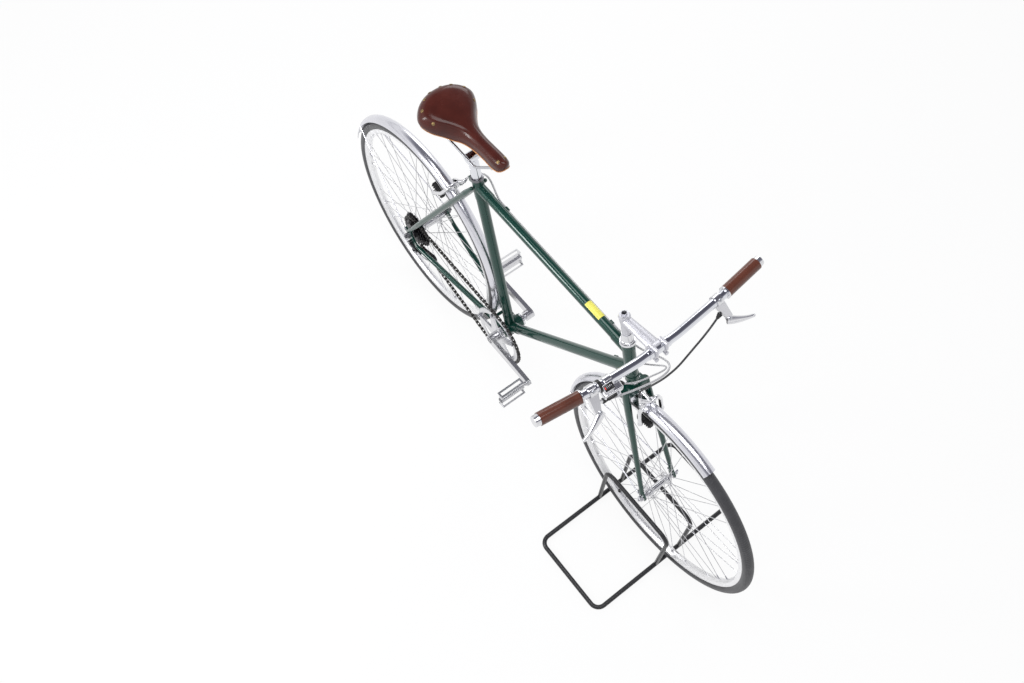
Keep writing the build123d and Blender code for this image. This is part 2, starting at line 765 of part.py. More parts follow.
def spindle():
    return rod(bb_at + side_y * 62, bb_at - side_y * 66, spindle_radius)


def crank(side, forward):
    """Tapered arm from the spindle to the pedal eye, with the pedal's axle."""
    eye = bb_at + Vector(forward * crank_length, 0, 0)
    mid_y = side * (crank_outer_y - crank_thickness / 2)
    body = link_plate((bb_at.X, bb_at.Z), (eye.X, eye.Z), 15, 11, mid_y, crank_thickness)
    boss_from = bb_at + side_y * side * crank_boss[0 if side > 0 else 1]
    body += rod(boss_from, bb_at + side_y * side * (crank_outer_y - 1), 15)
    body -= disc(bb_at, spindle_radius + braze_gap, 2 * (crank_outer_y - 10))
    start = crank_outer_y - 2
    body += rod(eye + side_y * side * start, eye + side_y * side * (pedal_outer_y - 6), pedal_axle_radius)
    return body + rod(eye + side_y * side * start, eye + side_y * side * (start + 7), 7)


def pedal(side, forward):
    """Cage pedal: barrel, two end plates and a windowed cage plate on each edge, turned about its axle."""
    inner, outer = side * pedal_inner_y, side * pedal_outer_y
    middle, span = (inner + outer) / 2, pedal_outer_y - pedal_inner_y
    body = rod(side_y * inner, side_y * outer, pedal_barrel)
    for y in (inner + side * cage_wall / 2, outer - side * cage_wall / 2):
        body += Pos(0, y, 0) * Box(pedal_length - cage_wall, cage_wall, pedal_height * 0.5)
    for x in (-1, 1):
        edge = Pos(x * (pedal_length - cage_wall) / 2, middle, 0)
        cage = edge * Box(cage_wall, span, pedal_height)
        body += cage - edge * Box(cage_wall * 2, span - 2 * cage_rim, pedal_height - 2 * cage_rim)
    body -= rod(side_y * side * (pedal_inner_y - 5), side_y * side * (pedal_outer_y - 4),
                pedal_axle_radius + bearing_gap)
    eye = bb_at + Vector(forward * crank_length, 0, 0)
    return Pos(*eye) * Rot(0, pedal_pitch[0 if side < 0 else 1], 0) * body


def rear_derailleur():
    """Knuckle on the hanger, arm to the cage, and the cage with its two pulleys."""
    hanger = (rear_x + 9, wheel_radius - 27)
    hanger_face = -(stay_out_y + dropout_thickness / 2)
    knuckle = Vector(hanger[0], derailleur_y(), hanger[1])
    guide, tension = guide_centre, tension_centre
    plate_y = chain_width / 2 + 2.2
    outer_plate = chain_y - plate_y
    body = rod(Vector(hanger[0], hanger_face - 0.2, hanger[1]), knuckle - side_y * 3, 7.5)
    foot = Vector(guide[0], outer_plate - 7, guide[1])
    arm = rod(knuckle, foot, 5, 6.5)
    end = gear_cable_end()
    inner = knuckle + (foot - knuckle) * 0.42
    arm += rod(inner, end + (inner - end).normalized() * 0.3, 4.2, 3.4)
    body += arm - disc((hanger[0], -stay_out_y, hanger[1]), 9, dropout_thickness + 0.4)
    body += rod(foot - side_y * 4, Vector(guide[0], outer_plate, guide[1]), 7.5)
    for y in (chain_y + plate_y, outer_plate):
        body += link_plate(guide, tension, 11, 11, y, 1.6)
    for centre in (guide, tension):
        body += disc((centre[0], chain_y, centre[1]), pitch_radius(pulley_teeth) - plate_height - 0.6,
                     pulley_thickness)
        body += disc((centre[0], chain_y, centre[1]), 3.5, 2 * plate_y)
    return body


def derailleur_y():
    """Middle of the knuckle, just outside the hanger."""
    return -(stay_out_y + dropout_thickness / 2 + 5.5)


# ---------------------------------------------------------------- fork and cockpit
def blade_line(side):
    top = on_head(crown_low + crown_height / 2, crown_offset, side * crown_half_width)
    low = Vector(front_x - 7, side * (front_spacing / 2 + dropout_thickness / 2), wheel_radius + 16)
    return top, low


def fork():
    """Steerer, crown, two tapered blades and the fork ends."""
    body = rod(on_head(crown_low), on_head(head_tube_high + 22), steerer_radius)
    middle = on_head(crown_low + crown_height / 2, crown_offset / 2)
    plane = Plane(origin=middle, x_dir=head_front, z_dir=head_dir)
    body += plane * Box(crown_depth, 2 * crown_half_width, crown_height)
    body += rod(on_head(crown_low + crown_height / 2), on_head(head_tube_low - 9.6), 16.5)
    for side in (1, -1):
        top, low = blade_line(side)
        way = (low - top).normalized()
        upper = Plane(origin=top - way * 8, x_dir=way.cross(side_y), z_dir=way)
        lower = Plane(origin=low, x_dir=way.cross(side_y), z_dir=way)
        body += loft([upper * Ellipse(blade_wide, blade_thin), lower * Circle(blade_tip)])
        y = side * (front_spacing / 2 + dropout_thickness / 2)
        tip = link_plate((front_x, wheel_radius), (front_x - 9, wheel_radius + 22), 12, 6, y,
                         dropout_thickness)
        tip += link_plate((front_x, wheel_radius), (front_x - 15, wheel_radius + 10), 8, 5.5, y,
                          dropout_thickness)
        tip -= disc((front_x, y, wheel_radius), axle_radius + 0.3, dropout_thickness * 2)
        tip -= Pos(front_x + 1, y, wheel_radius - 10) * Box(2 * axle_radius + 0.6, dropout_thickness * 2, 20)
        tip -= disc((front_x - 15, y, wheel_radius + 10), eyelet_bore, dropout_thickness * 2)
        body += tip
    clear = rod(on_head(crown_low - 60), on_head(stem_top), quill_radius + braze_gap)
    return body - clear


def headset_nut():
    """Adjusting ring and the cone-shaped locknut that closes on the quill."""
    body = rod(on_head(head_tube_high + 9.6), on_head(head_tube_high + 15), 17.5)
    body += rod(on_head(head_tube_high + 15), on_head(head_tube_high + 34), 16.0, 12.4)
    body -= rod(on_head(head_tube_high), on_head(head_tube_high + 22.3), steerer_radius + braze_gap)
    return body - rod(on_head(head_tube_high), on_head(head_tube_high + 60), quill_radius + braze_gap)


clamp_at = on_head(stem_top - stem_arm_drop) + Vector(stem_reach, 0, stem_rise)
clamp_x = clamp_at.X - rear_x
clamp_height = clamp_at.Z


def stem():
    """Quill with a flared head and bolt, forged arm, and a clamp whose two straps hold the bar."""
    arm_from = on_head(stem_top - stem_arm_drop)
    way = (clamp_at - arm_from).normalized()
    up = Vector(-way.Z, 0, way.X)
    body = rod(on_head(stem_top - 120), on_head(stem_top - 30), quill_radius)
    body += rod(on_head(stem_top - 30), on_head(stem_top - 6), quill_radius, quill_head)
    body += rod(on_head(stem_top - 6), on_head(stem_top), quill_head, quill_head - 2.5)
    body += extrude(Plane(origin=on_head(stem_top), z_dir=head_dir) * RegularPolygon(7, 6), 5)
    near = Plane(origin=arm_from, x_dir=side_y, z_dir=way)
    far = Plane(origin=clamp_at, x_dir=side_y, z_dir=way)
    body += loft([near * Ellipse(*stem_arm), far * Ellipse(*stem_arm_end)])
    clamp = disc(clamp_at, clamp_outer, clamp_length)
    open_front = Plane(origin=clamp_at + way * (clamp_outer + 3), x_dir=way, z_dir=side_y)
    body += clamp - open_front * Box(2 * clamp_outer, 4 * clamp_outer, 2 * clamp_length)
    for y in (-strap_y, strap_y):
        middle = clamp_at + side_y * y
        body += disc(middle, strap_radius, strap_width)
        for end in (-1, 1):
            bolt = middle + up * end * (bar_bulge + strap_bolt)
            body += rod(bolt - way * 9, bolt + way * 13, strap_bolt)
            body += rod(bolt + way * 13, bolt + way * 16, strap_bolt + 0.8)
    return body - disc(clamp_at, bar_bulge + braze_gap, clamp_length * 2)


def bar_points():
    right = []
    for y, back, rise in ((bar_end_y, bar_end_back, bar_end_rise), (bar_bend_y, bar_bend_back, bar_bend_rise),
                          (58.0, 0.0, 0.0)):
        right.append((y, back, rise))
    points = [bike(clamp_x - back, -y, clamp_height + rise) for y, back, rise in right]
    points += [bike(clamp_x - back, y, clamp_height + rise) for y, back, rise in reversed(right)]
    return points


def on_bar(y):
    """Point on the handlebar's axis at a distance y from the middle, beyond the outer bend."""
    share = (abs(y) - bar_bend_y) / (bar_end_y - bar_bend_y)
    back = bar_bend_back + share * (bar_end_back - bar_bend_back)
    rise = bar_bend_rise + share * (bar_end_rise - bar_bend_rise)
    return bike(clamp_x - back, y, clamp_height + rise)


def on_inner_bar(y):
    share = (abs(y) - 58.0) / (bar_bend_y - 58.0)
    return bike(clamp_x - share * bar_bend_back, y, clamp_height + share * bar_bend_rise)


def handlebar():
    body = bent_tube(bar_points(), bar_radius, 300)
    half = clamp_length / 2 + 10
    return body + rod(clamp_at - side_y * half, clamp_at + side_y * half, bar_bulge)


def grip(side):
    a, b = on_bar(side * grip_start_y), on_bar(side * grip_end_y)
    way = (b - a).normalized()
    return rod(a, b, grip_radius) - rod(a - way * 9, b + way * 9, bar_radius + braze_gap)


def grip_rings():
    """Metal collar and end cap of each leather grip."""
    rings = []
    for side in (1, -1):
        a, b = on_bar(side * grip_start_y), on_bar(side * grip_end_y)
        way = (b - a).normalized()
        bore = rod(a - way * 20, on_bar(side * bar_end_y) + way * 0.1, bar_radius + braze_gap)
        rings.append(rod(a - way * 4.3, a - way * 0.3, grip_radius + 0.8) - bore)
        rings.append(rod(b + way * 0.3, on_bar(side * bar_end_y) + way * 3, *grip_cap) - bore)
    return rings


def cable_start(side):
    """Where the housing leaves the lever."""
    return clamp_at + (Vector(14, 178, -34) if side > 0 else Vector(19.5, -161, -23))


def cable_second(side):
    """Second point of the housing's route from the lever."""
    return clamp_at + (Vector(19, 157, -48) if side > 0 else Vector(24, -137, -32))


def gear_cable_second():
    return clamp_at + Vector(12, -88, -48)


def gear_cable_start():
    """Where the housing leaves the shifter."""
    return clamp_at + Vector(9, -103, -33)


def brake_lever(side):
    """Clamp, tapered bracket, curved blade that narrows to its tip, and cable barrel of one brake lever."""
    centre = on_inner_bar(side * (lever_y - 6))
    way = (on_inner_bar(side * bar_bend_y) - on_inner_bar(side * 100)).normalized()
    pull = Vector(lever_reach, 0, -lever_drop).normalized()
    reach = sqrt(lever_reach ** 2 + lever_drop ** 2)
    square = way.cross(pull)
    body = rod(centre - way * 9, centre + way * 9, bar_radius + 3.5)
    flat = Plane(origin=centre, x_dir=way, z_dir=square)
    far = reach * flat.y_dir.dot(pull)
    outline = Polyline((-13, far * 0.2), (13, far * 0.2), (13, far * 0.95), (1, far * 1.15), close=True)
    body += extrude(flat * make_face(outline), 5, both=True)
    pivot = centre + way * 6 + pull * reach
    body += rod(pivot - square * 7.5, pivot + square * 7.5, 4.2)
    run = Spline(*[pivot + way * a + pull * b for a, b in ((-6, 1), (10, 11), (34, 24), (61, 35))])
    sections = []
    for share, wide, thin in ((0, 9.5, 3.6), (0.3, 9.0, 4.2), (0.65, 6.2, 4.2), (1, 4.4, 3.8)):
        section = Plane(origin=run @ share, x_dir=(run % share).cross(square), z_dir=run % share)
        sections.append(section * Ellipse(wide, thin))
    body += loft(sections)
    body += Pos(*(run @ 1)) * Sphere(4.4)
    out = cable_start(side)
    way_in = (cable_second(side) - out).normalized()
    body += rod(out - way_in * 24, out - way_in * 0.3, 5.5, 3.6)
    body += rod(out - way_in * 24, centre + pull * reach * 0.6, 5.5, 4)
    return body - rod(centre - way * 30, centre + way * 30, bar_radius + 0.3)


def shifter():
    """Gear lever's housing before the right half of the bar, its indicator on top, strap and cable barrel."""
    centre = on_inner_bar(-shifter_y)
    way = (on_inner_bar(-170) - on_inner_bar(-120)).normalized()
    body = rod(centre - way * 9, centre + way * 9, bar_radius + 3.5)
    strap = on_inner_bar(-shifter_strap_y)
    body += rod(strap - way * 5, strap + way * 5, bar_radius + 2.8)
    low = centre + Vector(20, 0, -11)
    housing = Plane(origin=low, x_dir=way, z_dir=(0, 0, 1)) * Box(50, 20, 17)
    body += fillet(housing.edges(), 4)
    top = on_inner_bar(-indicator_y) + Vector(14, 0, 5)
    indicator = Plane(origin=top, x_dir=way, z_dir=(0.4, 0, 1)) * Box(26, 18, 13)
    body += fillet(indicator.edges(), 3)
    out = gear_cable_start()
    way_in = (gear_cable_second() - out).normalized()
    body += rod(out - way_in * 22, out - way_in * 0.3, 6, 3.4)
    body += rod(out - way_in * 22, low, 6)
    return body - rod(centre - way * 60, centre + way * 60, bar_radius + 0.3)


# ---------------------------------------------------------------- mudguards and brakes
def mudguard(centre, span):
    """Half-round strip about the axle from one angle to the other."""
    outer, inner = mudguard_profile, mudguard_profile - mudguard_wall
    mid = mudguard_apex - outer
    edge = radians(16)

    def at(r, angle):
        return (mid + r * sin(angle), r * cos(angle))

    outline = [ThreePointArc(at(outer, edge), at(outer, pi / 2), at(outer, pi - edge)),
               Line(at(outer, pi - edge), at(inner, pi - edge)),
               ThreePointArc(at(inner, pi - edge), at(inner, pi / 2), at(inner, edge)),
               Line(at(inner, edge), at(outer, edge))]
    start = radians(span[0])
    plane = Plane(origin=centre, x_dir=(cos(start), 0, sin(start)), z_dir=(sin(start), 0, -cos(start)))
    return revolve(plane * make_face(outline), axis=Axis(centre, (0, -1, 0)),
                   revolution_arc=span[1] - span[0])


def around(centre, r, angle, y=0.0):
    return centre + Vector(r * cos(radians(angle)), y, r * sin(radians(angle)))


def mudguard_stays(centre, eye, angle, half_spacing):
    """Wire stays from the eyelets outside the ends to the mudguard's edges, each with its screw."""
    bars = []
    for side in (1, -1):
        outer_face = half_spacing + dropout_thickness
        start = centre + Vector(eye[0], side * (outer_face + stay_radius + 0.8), eye[1])
        end = around(centre, mudguard_apex - 10, angle, side * (mudguard_profile + stay_radius + 0.3))
        bar = rod(start, end, stay_radius)
        bar += disc(start, 4.4, 2 * stay_radius)
        low = centre + Vector(eye[0], side * (half_spacing - 1.5), eye[1])
        bar += rod(low, start, eyelet_bore - 0.05)
        bars.append(bar)
    return bars


def polar(angle):
    return Vector(cos(radians(angle)), 0, sin(radians(angle)))


def brake(centre, pivot_angle, pad_angle, post_at, cable_side):
    """Side-pull calliper: two arms from a pivot over the tyre, and the arms that the cable closes."""
    radial, pad_radial = polar(pivot_angle), polar(pad_angle)
    pivot = centre + radial * (mudguard_apex + pivot_rise)
    axis = (pivot - post_at).normalized()
    body = rod(pivot + axis * 14, post_at, 3.5)
    body += rod(pivot + axis * 2, pivot + axis * 9, 9)
    body += rod(pivot, centre + radial * (mudguard_apex + 0.4), 3.2)
    for side in (1, -1):
        start = pivot + axis * (3 if side == cable_side else 8)
        knee = centre + polar((pivot_angle * 2 + pad_angle) / 3) * (mudguard_apex - 4) + side_y * side * (
            mudguard_profile + 14)
        foot = centre + pad_radial * pad_radius + side_y * side * (rim_width / 2 + brake_gap + pad_thickness + 7)
        body += bent_tube([start, start + radial * 3 + side_y * side * 19, knee, foot], brake_arm, 11)
        body += Pos(*foot) * Sphere(brake_arm + 1)
        reach = foot + side_y * side * 6
        body += rod(reach, foot - side_y * side * 6.5, pad_stud)
    low = pivot + axis * 3 + side_y * cable_side * 27 - radial * 12
    high = brake_anchor(centre, pivot_angle, cable_side)
    body += rod(pivot + axis * 3, low, 5, 4) + rod(low - radial * 5, low + radial * 5, 5)
    body += bent_tube([pivot + axis * 8, pivot + axis * 8 + side_y * cable_side * 12 + radial * 8, high - radial * 14],
                      4.5, 6)
    return body + rod(high - radial * 20, high, 4.6, 3.8) + rod(low, high - radial * 14, wire_radius)


def brake_anchor(centre, pivot_angle, cable_side):
    """Top of the adjuster, where the cable's housing ends."""
    radial = polar(pivot_angle)
    return centre + radial * (mudguard_apex + pivot_rise + 32) + side_y * cable_side * 27


def brake_pads(centre, pad_angle):
    """Rubber blocks beside the rim, with ribs across their outer side."""
    radial = polar(pad_angle)
    along = Vector(-radial.Z, 0, radial.X)
    pads = []
    for side in (1, -1):
        middle = centre + radial * pad_radius
        at = middle + side_y * side * (rim_width / 2 + brake_gap + pad_thickness / 2 - 1.5)
        pad = Plane(origin=at, x_dir=along, z_dir=radial) * Box(pad_length, pad_thickness - 3, pad_height)
        outer = middle + side_y * side * (rim_width / 2 + brake_gap + pad_thickness - 2)
        for i in range(7):
            rib = outer + along * (pad_length - 8) * (i / 6 - 0.5)
            pad += Plane(origin=rib, x_dir=along, z_dir=radial) * Box(2.4, 4, pad_height - 1)
        pads.append(pad - Pos(*outer) * Rot(90, 0, 0) * Cylinder(pad_stud + braze_gap, 12))
    return pads


# ---------------------------------------------------------------- cables
def cable(points, r):
    """Housing along straight runs joined by the largest tangent arcs that they allow."""
    radii = []
    for a, b, c in zip(points, points[1:], points[2:]):
        before, after = b - a, c - b
        half_turn = radians(before.get_angle(after)) / 2
        radii.append(0.45 * min(before.length, after.length) / tan(half_turn))
    path = FilletPolyline(*points, radius=radii)
    body = sweep(Plane(origin=path @ 0, z_dir=path % 0) * Circle(r), path=path)
    print("cable radii", [round(value, 1) for value in radii], "volume share",
          round(body.volume / (pi * r * r * path.length), 4))
    return body


def brake_cable_front():
    """Housing from the left lever to the front brake."""
    end = brake_anchor(front_axle_at, front_brake[0], -1)
    out = polar(front_brake[0])
    return cable([cable_start(1), cable_second(1), bike(926, 131, 870), bike(931, 92, 847.5), bike(935.5, 55, 823.5),
                  bike(932, 22, 800), bike(922, -4, 776), end + out * 22, end + out * 0.3], brake_housing)


def brake_cable_loop():
    """Housing from the right lever, round in front of the head tube, to the stop on the top tube."""
    return cable([cable_start(-1), cable_second(-1), bike(929.5, -105, 884), bike(931, -69, 862), bike(931, -27, 836),
                  bike(931, 8, 820), bike(926, 40, 809), bike(911, 58, 799), bike(885, 57, 790), bike(858, 41, 788),
                  bike(824, 25, 796), top_stop(792), top_stop(757)], brake_housing)


def brake_cable_rear():
    """Bare wire along the top tube and the housing from its rear stop to the rear brake."""
    wire = rod(top_stop(344.9), top_stop(756.8), wire_radius)
    end = brake_anchor(rear_axle_at, rear_brake[0], 1)
    out = polar(rear_brake[0])
    return [wire, cable([top_stop(344.7), top_stop(318), bike(297, 22, 810.5), bike(275, 29, 813), bike(251, 36, 811),
                         bike(226, 40, 798), bike(203, 37, 777), end + out * 22, end + out * 0.3], brake_housing)]


def gear_cable_loop():
    """Housing from the gear shifter, round in front of the head tube, to the stop on the down tube."""
    return cable([gear_cable_start(), gear_cable_second(), bike(916.5, -62, 860), bike(917.5, -34, 842),
                  bike(917, -6, 825), bike(917, 24, 806), bike(913, 50, 788), bike(901, 58, 771), bike(884, 51, 753),
                  bike(860, 36, 739), bike(833, 23, 727), down_stop(56), down_stop(85)], gear_housing)


def gear_cable_rear():
    """Bare wire down the down tube, under the shell and along the chainstay, and housing to the derailleur."""
    points = [down_stop(85.1), bb_at + down_dir * 60 + side_y * (down_radius + stop_radius - 0.4)] + under_shell()
    points.append(stay_stop(0.70))
    wire = sum((rod(a, b, wire_radius) for a, b in zip(points[1:], points[2:])), rod(points[0], points[1], wire_radius))
    for knee in points[1:-1]:
        wire += Pos(*knee) * Sphere(wire_radius)
    b, c = stay_stop(0.66), stay_stop(0.70)
    way = (c - b).normalized()
    start = stay_stop(0.703)
    return [wire, cable([start, start + way * 19, bike(79, -66, 300), bike(60, -70.5, 298.5), gear_cable_end()],
                        gear_housing)]


def under_shell():
    """Where the gear wire passes under the shell, front and rear of its guide."""
    low = -bb_radius - 2.2
    return [bb_at + Vector(19, 10, low), bb_at + Vector(-14, -16, low)]


def gear_cable_end():
    """Where the housing meets the adjuster on the front of the derailleur's arm."""
    return Vector(rear_x + 41, -stay_out_y - 4, wheel_radius - 44)


def cable_guide():
    """Moulded guide under the bottom bracket shell."""
    body = Pos(bb_at.X + 2, -3, bb_at.Z - bb_radius - 2.4) * Box(26, 36, 4.8)
    body -= disc(bb_at, bb_radius + 0.3, 80)
    front, back = under_shell()
    way = (back - front).normalized()
    return body - rod(front - way * 20, back + way * 20, wire_radius + 1.0)


# ---------------------------------------------------------------- stand
def stand():
    """Floor loop of round bar with two upright hoops that hold the tyre between them."""
    x0, x1 = rear_x + stand_x[0], rear_x + stand_x[1]
    z = stand_tube
    loop = [(x0, stand_y[1], z), (x1, stand_y[1], z), (x1, stand_y[0], z), (x0, stand_y[0], z)]
    body = bent_tube(loop, stand_tube, stand_corner, closed=True)
    for y in hoop_y:
        hoop = [(x0, y, z), (x0, y, hoop_height), (x1, y, hoop_height), (x1, y, z)]
        body += bent_tube(hoop, stand_tube - 0.4, hoop_corner)
    return body


# ---------------------------------------------------------------- nodes
front_ends = (-front_spacing / 2 + 9, front_spacing / 2 - 9)
rear_ends = (-rear_spacing / 2 + 4, rear_spacing / 2 - 9)

bridge_middle = (stay_line(1, brake_bridge_r) + stay_line(-1, brake_bridge_r)) * 0.5
rear_brake_pivot = rear_axle_at + polar(rear_brake[0]) * (mudguard_apex + pivot_rise)
rear_brake_post = bridge_middle + (rear_brake_pivot - bridge_middle).normalized() * 8.8
front_brake_post = on_head(crown_low + crown_height / 2, crown_offset / 2 + crown_depth / 2 + 1.2)

nodes = {
    "head_tube": head_tube(),
    "top_tube": top_tube(),
    "down_tube": down_tube(),
    "seat_tube": seat_tube(),
    "bottom_bracket_shell": bottom_bracket_shell(),
    "bottom_bracket_cups": bottom_bracket_cups(),
    "chainstay_left": chainstay(1),
    "chainstay_right": chainstay(-1),
    "seatstay_left": seatstay(1),
    "seatstay_right": seatstay(-1),
    "stay_bridges": stay_bridges(),
    "headset_cups": headset_cups(),
    "seatpost": seatpost(),
    "saddle_cover": saddle_cover(),
    "saddle_frame": saddle_frame(),
    "rear_axle": axle(rear_axle_at, rear_spacing, rear_ends),
    "rear_brake": brake(rear_axle_at, *rear_brake, rear_brake_post, 1),
    "rear_brake_pads": brake_pads(rear_axle_at, rear_brake[1]),
    "rear_mudguard": mudguard(rear_axle_at, rear_mudguard),
    "rear_mudguard_stays": mudguard_stays(rear_axle_at, (-15, 15), 150, rear_spacing / 2),
    "rear_derailleur": rear_derailleur(),
    "chain": chain(),
    "brake_cable_rear": brake_cable_rear(),
    "gear_cable_rear": gear_cable_rear(),
    "cable_guide": cable_guide(),
    "fork": fork(),
    "headset_nut": headset_nut(),
    "stem": stem(),
    "handlebar": handlebar(),
    "grip_left": grip(1),
    "grip_right": grip(-1),
    "grip_rings": grip_rings(),
    "brake_lever_left": brake_lever(1),
    "brake_lever_right": brake_lever(-1),
    "shifter": shifter(),
    "brake_cable_front": brake_cable_front(),
    "brake_cable_loop": brake_cable_loop(),
    "gear_cable_loop": gear_cable_loop(),
    "front_axle": axle(front_axle_at, front_spacing, front_ends),
    "front_brake": brake(front_axle_at, *front_brake, front_brake_post, -1),
    "front_brake_pads": brake_pads(front_axle_at, front_brake[1]),
    "front_mudguard": mudguard(front_axle_at, front_mudguard),
    "front_mudguard_stays": mudguard_stays(front_axle_at, (-15, 10), 176, front_spacing / 2),
    "stand": stand(),
    "front_tyre": tyre(front_axle_at),
    "front_rim": rim(front_axle_at),
    "front_hub": hub(front_axle_at, (-front_flange_y, front_flange_y), hub_core[0], hub_neck[0],
                     front_flange_radius, front_ends),
    "front_spokes": spokes(front_axle_at, (-front_flange_y, front_flange_y), front_flange_radius),
    "rear_tyre": tyre(rear_axle_at),
    "rear_rim": rim(rear_axle_at),
    "rear_hub": hub(rear_axle_at, rear_flange_y, hub_core[1], hub_neck[1], rear_flange_radius, rear_ends),
    "rear_spokes": spokes(rear_axle_at, rear_flange_y, rear_flange_radius),
    "cassette": cassette(),
    "chainrings": chainrings(),
    "crank_right": crank(-1, 1),
    "crank_left": crank(1, -1),
    "bottom_bracket_spindle": spindle(),
    "pedal_right": pedal(-1, 1),
    "pedal_left": pedal(1, -1),
}

os.makedirs("parts", exist_ok=True)
for name, shape in nodes.items():
    if isinstance(shape, list):
        shape = Compound(children=shape)
    export_step(shape, f"parts/{name}.step")
    print(name, "written")
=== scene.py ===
import json
import math

import bmesh
import bpy
from mathutils import Matrix, Vector


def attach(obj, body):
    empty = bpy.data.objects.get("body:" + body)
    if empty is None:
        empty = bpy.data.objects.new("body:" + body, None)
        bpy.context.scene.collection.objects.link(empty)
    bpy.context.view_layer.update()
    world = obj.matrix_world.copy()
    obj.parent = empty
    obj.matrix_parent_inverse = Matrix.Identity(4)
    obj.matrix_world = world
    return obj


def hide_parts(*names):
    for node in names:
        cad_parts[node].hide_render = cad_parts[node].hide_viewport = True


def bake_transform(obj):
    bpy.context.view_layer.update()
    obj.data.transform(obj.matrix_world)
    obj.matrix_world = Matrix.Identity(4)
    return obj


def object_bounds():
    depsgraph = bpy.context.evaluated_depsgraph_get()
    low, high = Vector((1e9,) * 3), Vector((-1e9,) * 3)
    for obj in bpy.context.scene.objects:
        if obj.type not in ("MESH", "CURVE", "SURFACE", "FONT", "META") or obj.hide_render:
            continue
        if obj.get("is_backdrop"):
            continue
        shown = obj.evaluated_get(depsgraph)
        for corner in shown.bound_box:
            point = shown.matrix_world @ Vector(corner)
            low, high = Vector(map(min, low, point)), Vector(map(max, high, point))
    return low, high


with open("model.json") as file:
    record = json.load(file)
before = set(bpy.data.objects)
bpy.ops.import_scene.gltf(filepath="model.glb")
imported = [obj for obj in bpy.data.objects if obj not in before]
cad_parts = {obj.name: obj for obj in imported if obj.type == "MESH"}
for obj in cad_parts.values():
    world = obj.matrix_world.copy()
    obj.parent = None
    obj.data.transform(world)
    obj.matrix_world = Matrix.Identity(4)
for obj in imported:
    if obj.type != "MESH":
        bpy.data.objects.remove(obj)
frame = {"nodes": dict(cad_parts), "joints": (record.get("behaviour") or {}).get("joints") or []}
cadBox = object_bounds()
nodes = frame["nodes"]
print("frame loaded:", len(nodes), "nodes")


# places shared by the pieces, in metres
turning = {joint["name"]: Vector(joint["pos_m"]) for joint in frame["joints"]}
rearAxle, frontAxle = turning["rear_wheel_spin"], turning["front_wheel_spin"]
bike = {
    "headAngle": math.radians(71.5),
    "seatAngle": math.radians(73.7),
    "chainY": -0.046,
}
headUp = Vector((-math.cos(bike["headAngle"]), 0, math.sin(bike["headAngle"])))
headFront = Vector((math.sin(bike["headAngle"]), 0, math.cos(bike["headAngle"])))
headFoot = frontAxle - headFront * 0.050
seatUp = Vector((-math.cos(bike["seatAngle"]), 0, math.sin(bike["seatAngle"])))


def fromRear(x, y, z):    # a place given ahead of the rear axle, to the left and above the floor
    return Vector((rearAxle.x + x, y, z))


def onHead(along):    # a place on the steering's axis
    return headFoot + headUp * along


def onWheel(axle, radius, angle, y=0.0):    # a place about an axle, beside it by y
    return axle + Vector((radius * math.cos(angle), y, radius * math.sin(angle)))


def linked(name, data):    # a new object in the scene
    made = bpy.data.objects.new(name, data)
    bpy.context.scene.collection.objects.link(made)
    return made


# camera
view = {
    "place": fromRear(1.46134, -0.904195, 2.897616),
    "right": (0.613911, 0.788921, 0.026778),
    "up": (-0.709686, 0.536764, 0.456322),
    "back": (0.345629, -0.299145, 0.889412),
    "lens": 35.66,
    "sensor": 36.0,
}
lensData = bpy.data.cameras.new("camera")
lensData.lens = view["lens"]
lensData.sensor_width = view["sensor"]
lensData.clip_start, lensData.clip_end = 0.05, 60
camera = linked("camera", lensData)
turn = Matrix((view["right"], view["up"], view["back"])).transposed().to_4x4()
camera.matrix_world = Matrix.Translation(view["place"]) @ turn
bpy.context.scene.camera = camera


# shader maths
class Wave:    # wraps a socket, so that expressions on it add Math nodes
    def __init__(self, tree, socket):
        self.tree, self.socket = tree, socket

    def maths(self, operation, first, second=0.0):
        made = self.tree.nodes.new("ShaderNodeMath")
        made.operation = operation
        for place, value in zip(made.inputs, (first, second)):
            if isinstance(value, Wave):
                self.tree.links.new(value.socket, place)
            else:
                place.default_value = value
        return Wave(self.tree, made.outputs[0])

    def __add__(self, other):
        return self.maths("ADD", self, other)

    def __radd__(self, other):
        return self.maths("ADD", other, self)

    def __sub__(self, other):
        return self.maths("SUBTRACT", self, other)

    def __rsub__(self, other):
        return self.maths("SUBTRACT", other, self)

    def __mul__(self, other):
        return self.maths("MULTIPLY", self, other)

    def __rmul__(self, other):
        return self.maths("MULTIPLY", other, self)

    def __pow__(self, other):
        return self.maths("POWER", self, other)

    def __gt__(self, other):
        return self.maths("GREATER_THAN", self, other)

    def sine(self):
        return self.maths("SINE", self)


class Shading:    # adds nodes to one shader tree
    def __init__(self, tree):
        self.tree = tree

    def node(self, kind, settings=None, sockets=None, output=0):
        made = self.tree.nodes.new("ShaderNode" + kind)
        for key, value in (settings or {}).items():
            if key == "stops":
                ramp = made.color_ramp
                while len(ramp.elements) < len(value):
                    ramp.elements.new(0.5)
                for element, (place, colour) in zip(ramp.elements, value):
                    element.position, element.color = place, colour
            else:
                setattr(made, key, value)
        for key, value in (sockets or {}).items():
            self.feed(made.inputs[key], value)
        return Wave(self.tree, made.outputs[output])

    def feed(self, socket, value):
        if isinstance(value, Wave):
            self.tree.links.new(value.socket, socket)
        else:
            socket.default_value = value

    def blendColours(self, factor, first, second):
        made = self.tree.nodes.new("ShaderNodeMix")
        made.data_type = "RGBA"
        self.feed(made.inputs[0], factor)
        self.feed(made.inputs[6], first)
        self.feed(made.inputs[7], second)
        return Wave(self.tree, made.outputs[2])


